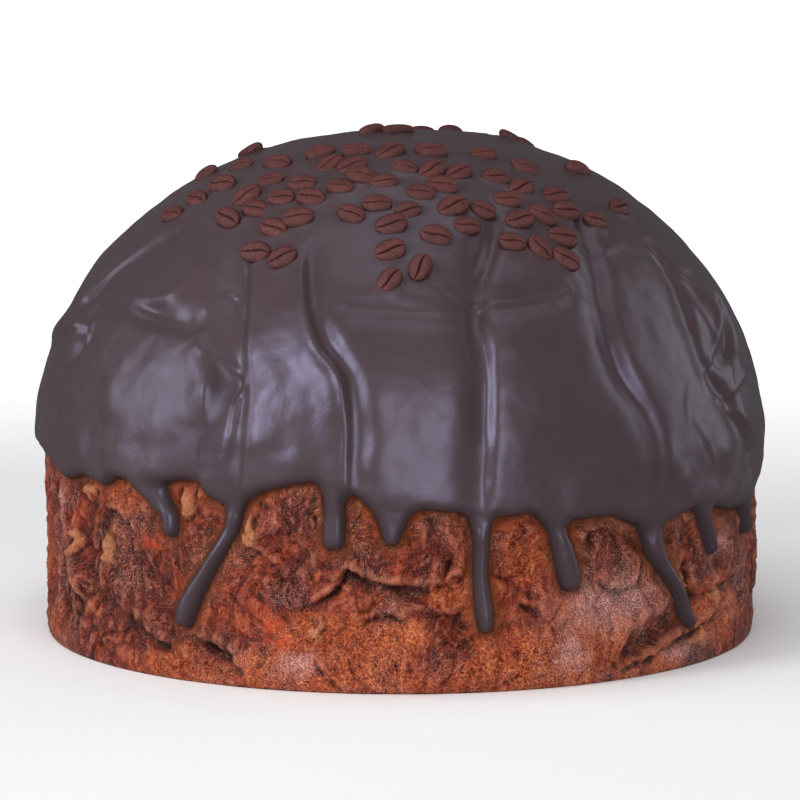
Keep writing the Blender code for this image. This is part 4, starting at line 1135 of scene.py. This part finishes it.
def strandsGroup():
    # swirled strands from 0 to 1: noise drawn out upwards, in a space bent by slower noise
    group, given = newGroup("strands", Scale=600.0, Contrast=2.0, Swirl=0.018)
    slow = addNode(group, "ShaderNodeTexNoise", {"Vector": given["Vector"], "Scale": 60.0, "Detail": 3.0})
    inputs = {0: slow.outputs["Color"], 1: (0.5, 0.5, 0.5)}
    centred = addNode(group, "ShaderNodeVectorMath", inputs, operation="SUBTRACT").outputs[0]
    inputs = {0: centred, "Scale": given["Swirl"]}
    scaled = addNode(group, "ShaderNodeVectorMath", inputs, operation="SCALE").outputs[0]
    inputs = {0: given["Vector"], 1: scaled}
    bent = addNode(group, "ShaderNodeVectorMath", inputs, operation="ADD").outputs[0]
    drawn = addNode(group, "ShaderNodeMapping", {"Vector": bent, "Scale": (1, 1, 0.32)}).outputs[0]
    inputs = {"Vector": drawn, "Scale": given["Scale"], "Detail": 6.0, "Roughness": 0.70, "Distortion": 0.3}
    return finishGroup(group, addNode(group, "ShaderNodeTexNoise", inputs), given["Contrast"])


mottle = mottleGroup()
strands = strandsGroup()


def addMottle(tree, vector, scale, contrast):
    inputs = {"Vector": vector, "Scale": scale, "Contrast": contrast}
    return addNode(tree, "ShaderNodeGroup", inputs, node_tree=mottle).outputs["Value"]


def addStrands(tree, vector, scale, contrast, swirl):
    inputs = {"Vector": vector, "Scale": scale, "Contrast": contrast, "Swirl": swirl}
    return addNode(tree, "ShaderNodeGroup", inputs, node_tree=strands).outputs["Value"]


def addMapping(tree, vector, scale=(1, 1, 1), location=(0, 0, 0)):
    inputs = {"Vector": vector, "Scale": scale, "Location": location}
    return addNode(tree, "ShaderNodeMapping", inputs).outputs[0]


def objectVector(tree):
    return tree.nodes.new("ShaderNodeTexCoord").outputs["Object"]


def addBump(tree, surface, height, strength, distance):
    inputs = {"Height": height, "Strength": strength, "Distance": distance}
    tree.links.new(addNode(tree, "ShaderNodeBump", inputs).outputs[0], surface.inputs["Normal"])


def addRamp(tree, factor, stops):
    node = addNode(tree, "ShaderNodeValToRGB", {0: factor})
    ramp = node.color_ramp
    while len(ramp.elements) < len(stops):
        ramp.elements.new(0.5)
    for element, (place, colour) in zip(ramp.elements, stops):
        element.position = place
        element.color = fromPhoto(*colour)
    return node.outputs["Color"]


crustLook = {
    # colours from dark to bright, each with its place from 0 to 1
    "skin": [(0.14, (50, 4, 2)), (0.36, (110, 24, 13)), (0.55, (158, 52, 23)), (0.76, (206, 94, 40)),
             (0.96, (232, 146, 92))],
    "plumSkin": [(0.12, (42, 3, 6)), (0.42, (82, 13, 14)), (0.64, (122, 32, 25)), (0.84, (164, 68, 42)),
                 (0.98, (216, 134, 92))],
    "crumb": [(0.18, (86, 14, 3)), (0.40, (160, 56, 22)), (0.60, (210, 95, 38)), (0.84, (250, 168, 98))],
    # laid over these, in the order of crustMaterial's masks; the first three are the crust's own colours, the
    # rest paint light and shade: a highlight on crests, shade in hollows and pits, highlights, sheen and glints,
    # a highlight on the cracks' lips, shade in the cracks and a shadow along the chocolate's edge
    # ridge is a painted highlight on the crests
    "halo": (166, 84, 34), "pale": (224, 146, 92), "red": (226, 80, 40), "ridge": (212, 122, 80),
    # hollow and deep are painted shade, pit is painted shade in tiny pits, lit is a painted highlight
    "hollow": (46, 12, 8), "deep": (64, 20, 18), "pitShade": (52, 8, 4), "lit": (228, 138, 90),
    "sheen": (212, 140, 128), "glint": (242, 190, 182), "lip": (226, 146, 112), "crack": (34, 8, 6),
    # a painted shadow along the chocolate's edge
    "glazeShadow": (70, 28, 14),
    "bump": 0.0011, "specular": 0.37, "roughness": (0.16, 0.30), "roughnessSwing": 0.16,
}


def crustMaterial():
    material, tree, surface = newMaterial("crust")
    plain = objectVector(tree)
    fibre = addNode(tree, "ShaderNodeAttribute", attribute_name="fibre").outputs["Vector"]
    along = addMapping(tree, fibre, (1, 0.55, 3))
    fine = addStrands(tree, along, 1200.0, 2.0, 0.002)
    wide = addStrands(tree, plain, 250.0, 3.2, 0.030)
    clouds = addMottle(tree, plain, 62.0, 2.8)
    specks = addMottle(tree, plain, 1150.0, 2.8)
    mixed = addSum(tree, addProduct(tree, fine, 0.44), addProduct(tree, wide, 0.50))
    mixed = addSum(tree, mixed, addAttribute(tree, "streak", -0.8, 0.8, -0.26, 0.25))
    # the skin's two colours, and the crumb where the skin is torn off
    tone = addSum(tree, clouds, addAttribute(tree, "plate", 0.0, 1.0, -0.38, 0.22))
    tone = addSum(tree, tone, addProduct(tree, addAttribute(tree, "plum"), 1.1))
    skin = addMix(tree, addRange(tree, tone, 0.35, 0.75), addRamp(tree, mixed, crustLook["skin"]),
                  addRamp(tree, mixed, crustLook["plumSkin"]))
    grains = addSum(tree, addProduct(tree, specks, 0.55), addProduct(tree, mixed, 0.45))
    torn = addSum(tree, addAttribute(tree, "torn"), addRange(tree, clouds, 0.35, 0.0, 0.0, 0.5), True)
    colour = addMix(tree, torn, skin, addRamp(tree, grains, crustLook["crumb"]))
    # painted shade in pits and painted highlights as glints, no larger than a crumb; the glints gathered where
    # the crust is painted to shine
    sparks = addMottle(tree, addMapping(tree, plain, location=(0.3, 0.1, 0.2)), 2500.0, 3.0)
    glints = addMix(tree, torn, addMottle(tree, addMapping(tree, along, (1, 0.8, 1)), 2000.0, 2.3), sparks)
    sheen = addAttribute(tree, "sheen")
    shine = addSum(tree, addProduct(tree, sheen, 1.4), addRange(tree, clouds, 0.50, 0.95, 0.10, 0.35))
    # crests catch painted glints too
    crest = addProduct(tree, addAttribute(tree, "hollow", -0.10, -0.80, 0.0, 0.35), fine)
    shine = addSum(tree, shine, crest)
    masks = {
        "halo": addProduct(tree, addAttribute(tree, "halo"), addRange(tree, wide, 0.1, 0.8, 0.40, 0.90)),
        "pale": addProduct(tree, addAttribute(tree, "pale"), addRange(tree, mixed, 0.20, 0.6, 0.35, 0.95)),
        "red": addProduct(tree, addAttribute(tree, "red"), addRange(tree, mixed, 0.35, 0.62, 0.0, 0.85)),
        # painted highlight: paler colour on the relief's crests
        "ridge": addAttribute(tree, "hollow", -0.25, -1.2, 0.0, 0.40),
        # painted shade in the relief's hollows, fine and broad
        "hollow": addAttribute(tree, "hollow", 0.25, 1.3, 0.0, 0.80),
        "deep": addAttribute(tree, "deep", 0.20, 1.5, 0.0, 0.30),
        # painted shade: dark specks for tiny shaded pits, mostly in the crumb
        "pitShade": addProduct(tree, addRange(tree, sparks, 0.38, 0.12, 0.0, 0.60),
                          addRange(tree, torn, 0.0, 1.0, 0.35)),
        # painted highlights: light strokes along the fibres, and specks in the crumb
        "lit": addProduct(tree, addRange(tree, glints, 0.56, 0.84),
                          addRange(tree, clouds, 0.35, 0.80, 0.20, 0.80)),
        # painted sheen: paler colour over the sheen patches
        "sheen": addProduct(tree, sheen, 0.46),
        # painted highlights: pale glints
        "glint": addProduct(tree, addRange(tree, sparks, 0.46, 0.78), shine, True),
        # painted highlight on the lips beside the cracks
        "lip": addProduct(tree, addAttribute(tree, "crack", -0.25, -1.1, 0.0, 0.6), mixed),
        # painted shade along the cracks
        "crack": addAttribute(tree, "crack", 0.20, 0.85, 0.0, 0.88),
        # painted shadow on the crust just along the chocolate's edge
        "glazeShadow": addProduct(tree, addAttribute(tree, "glazeShadow"), 0.6),
    }
    for name, mask in masks.items():
        colour = addMix(tree, mask, colour, fromPhoto(*crustLook[name]))
    tree.links.new(colour, surface.inputs["Base Color"])
    rough = addRange(tree, torn, 0.0, 1.0, *crustLook["roughness"])
    rough = addSum(tree, rough, addProduct(tree, wide, crustLook["roughnessSwing"]))
    tree.links.new(rough, surface.inputs["Roughness"])
    height = addSum(tree, addProduct(tree, mixed, 0.78), addProduct(tree, sparks, 0.34))
    addBump(tree, surface, height, 1.0, crustLook["bump"])
    surface.inputs["Specular IOR Level"].default_value = crustLook["specular"]
    return material


chocolateLook = {
    # the rim colour is painted shade, laid over the chocolate near its outline, drips included
    "dark": (64, 51, 51), "light": (76, 62, 63), "rim": (44, 33, 34), "rimShadeWidth": 0.0035,
    "roughness": (0.31, 0.39), "specular": 0.65, "tint": (0.64, 0.64, 1.0, 1),
}


def chocolateMaterial():
    material, tree, surface = newMaterial("chocolate")
    plain = objectVector(tree)
    clouds = addMottle(tree, plain, 28.0, 1.6)
    colour = addMix(tree, clouds, fromPhoto(*chocolateLook["dark"]), fromPhoto(*chocolateLook["light"]))
    # painted shade: darker near the chocolate's outline
    rimShade = addAttribute(tree, "depth", chocolateLook["rimShadeWidth"], 0.0, 0.0, 0.6)
    colour = addMix(tree, rimShade, colour, fromPhoto(*chocolateLook["rim"]))
    tree.links.new(colour, surface.inputs["Base Color"])
    spots = addMottle(tree, plain, 190.0, 1.4)
    fine = addMottle(tree, plain, 900.0, 1.6)
    tree.links.new(addRange(tree, spots, 0.0, 1.0, *chocolateLook["roughness"]), surface.inputs["Roughness"])
    addBump(tree, surface, addSum(tree, spots, addProduct(tree, fine, 0.20)), 0.22, 0.0004)
    surface.inputs["Specular IOR Level"].default_value = chocolateLook["specular"]
    surface.inputs["Specular Tint"].default_value = chocolateLook["tint"]
    return material


beanLook = {
    "dark": (74, 34, 31), "light": (114, 60, 55), "streak": (60, 26, 24), "tone": (84, 42, 42),
    # edge and crease are painted shade: darker round the bean's rim and in its crease
    "edge": (40, 18, 19), "crease": (36, 16, 17), "roughness": (0.42, 0.62), "specular": 0.4,
}


def beanMaterial():
    material, tree, surface = newMaterial("bean")
    plain = objectVector(tree)
    streaks = addMottle(tree, plain, 1000.0, 2.6)
    blotches = addMottle(tree, plain, 260.0, 2.2)
    colour = addMix(tree, blotches, fromPhoto(*beanLook["dark"]), fromPhoto(*beanLook["light"]))
    masks = {  # the groove attribute is 1 in the crease and -1 along the widest part
        "streak": addProduct(tree, streaks, 0.45),
        "tone": addProduct(tree, addAttribute(tree, "tone"), 0.5),
        # painted shade round the bean's rim
        "edge": addAttribute(tree, "groove", 0.0, -1.0, 0.0, 0.65),
        # painted shade in the crease
        "crease": addAttribute(tree, "groove", 0.12, 0.8, 0.0, 0.9),
    }
    for name, mask in masks.items():
        colour = addMix(tree, mask, colour, fromPhoto(*beanLook[name]))
    tree.links.new(colour, surface.inputs["Base Color"])
    tree.links.new(addRange(tree, streaks, 0.0, 1.0, *beanLook["roughness"]), surface.inputs["Roughness"])
    addBump(tree, surface, addSum(tree, streaks, blotches), 0.7, 0.0003)
    surface.inputs["Specular IOR Level"].default_value = beanLook["specular"]
    return material


def floorMaterial():
    material, tree, surface = newMaterial("floor")
    surface.inputs["Base Color"].default_value = (0.97, 0.97, 0.97, 1)
    surface.inputs["Roughness"].default_value = 0.9
    surface.inputs["Specular IOR Level"].default_value = 0.1
    radius = addNode(tree, "ShaderNodeVectorMath", {0: objectVector(tree)}, operation="LENGTH").outputs["Value"]
    tree.links.new(addRange(tree, radius, *studio["floorFade"], 1.0, 0.0), surface.inputs["Alpha"])
    return material


studio = {
    "floor": 1.6,
    "floorFade": (0.30, 0.62),  # radii between which the floor melts into the white backdrop
    "worldColour": (0.93, 0.94, 1.0, 1),
    "world": 0.13,
    "aim": 0.07,  # height of the middle of the loaf, which the lights face
    # place, size, power, colour
    "lights": [
        ("left_box", (-1.35, -1.00, 0.70), 0.55, 14, (0.97, 0.97, 1.0)),
        ("far_left_box", (-1.75, -0.10, 0.50), 0.70, 7, (0.97, 0.97, 1.0)),
        ("right_box", (1.45, 0.62, 0.50), 1.10, 4.5, (0.97, 0.97, 1.0)),
        ("front_box", (0.46, -2.00, 0.50), 1.2, 21.5, (1.0, 0.98, 0.97)),
        ("top_box", (0.1, 0.1, 1.7), 1.3, 4, (1.0, 1.0, 1.0)),
    ],
    "sky": (1.1, 60, (-0.25, -0.35, 1.0)),  # strength, softness in degrees and direction of the floor's light
}
camera = {
    "elevation": 9.0, "distance": 2.2, "target": 0.0705,  # degrees, metres away, and height that it looks at
    "metresPerPixel": 0.000307, "pixels": 800, "sensor": 36,
}


def addLamp(name, kind, energy, direction):
    data = bpy.data.lights.new(name, kind)
    data.energy = energy
    lamp = bpy.data.objects.new(name, data)
    lamp.rotation_euler = direction.to_track_quat("-Z", "Y").to_euler()
    bpy.context.scene.collection.objects.link(lamp)
    return lamp


def makeStudio():
    half = studio["floor"] / 2
    mesh = bpy.data.meshes.new("floor")
    corners = [(-half, -half, 0), (half, -half, 0), (half, half, 0), (-half, half, 0)]
    mesh.from_pydata(corners, [], [(0, 1, 2, 3)])
    mesh.materials.append(floorMaterial())
    floor = bpy.data.objects.new("floor", mesh)
    bpy.context.scene.collection.objects.link(floor)
    floor.visible_glossy = False
    world = bpy.data.worlds.new("studio")
    bpy.context.scene.world = world
    world.use_nodes = True
    tree = world.node_tree
    light = tree.nodes["Background"]
    light.inputs["Color"].default_value = studio["worldColour"]
    light.inputs["Strength"].default_value = studio["world"]
    seen = addNode(tree, "ShaderNodeBackground", {"Color": (1, 1, 1, 1), "Strength": 1.2})
    path = tree.nodes.new("ShaderNodeLightPath")
    inputs = {0: path.outputs["Is Camera Ray"], 1: light.outputs[0], 2: seen.outputs[0]}
    both = addNode(tree, "ShaderNodeMixShader", inputs)
    tree.links.new(both.outputs[0], tree.nodes["World Output"].inputs["Surface"])
    for name, place, size, power, colour in studio["lights"]:
        lamp = addLamp(name, "AREA", power, Vector((0, 0, studio["aim"])) - Vector(place))
        lamp.data.size = size
        lamp.data.color = colour
        lamp.location = place
    strength, softness, direction = studio["sky"]
    lamp = addLamp("sky", "SUN", strength, -Vector(direction))
    lamp.data.angle = math.radians(softness)
    lamp.visible_glossy = False


def makeCamera():
    tilt = math.radians(camera["elevation"])
    target = Vector((0, 0, camera["target"]))
    data = bpy.data.cameras.new("camera")
    data.sensor_width = camera["sensor"]
    data.lens = camera["distance"] / camera["metresPerPixel"] / camera["pixels"] * camera["sensor"]
    data.clip_end = 50
    made = bpy.data.objects.new("camera", data)
    made.location = target + camera["distance"] * Vector((0, -math.cos(tilt), math.sin(tilt)))
    made.rotation_euler = (target - made.location).to_track_quat("-Z", "Y").to_euler()
    bpy.context.scene.collection.objects.link(made)
    bpy.context.scene.camera = made


makeStudio()
makeCamera()
bpy.context.scene.view_settings.view_transform = "Standard"
print("studio and camera ready")
places = beanPlaces()
makeCrust(crustMaterial())
makeGlaze(chocolateMaterial(), places)
makeBeans(beanMaterial(), places)
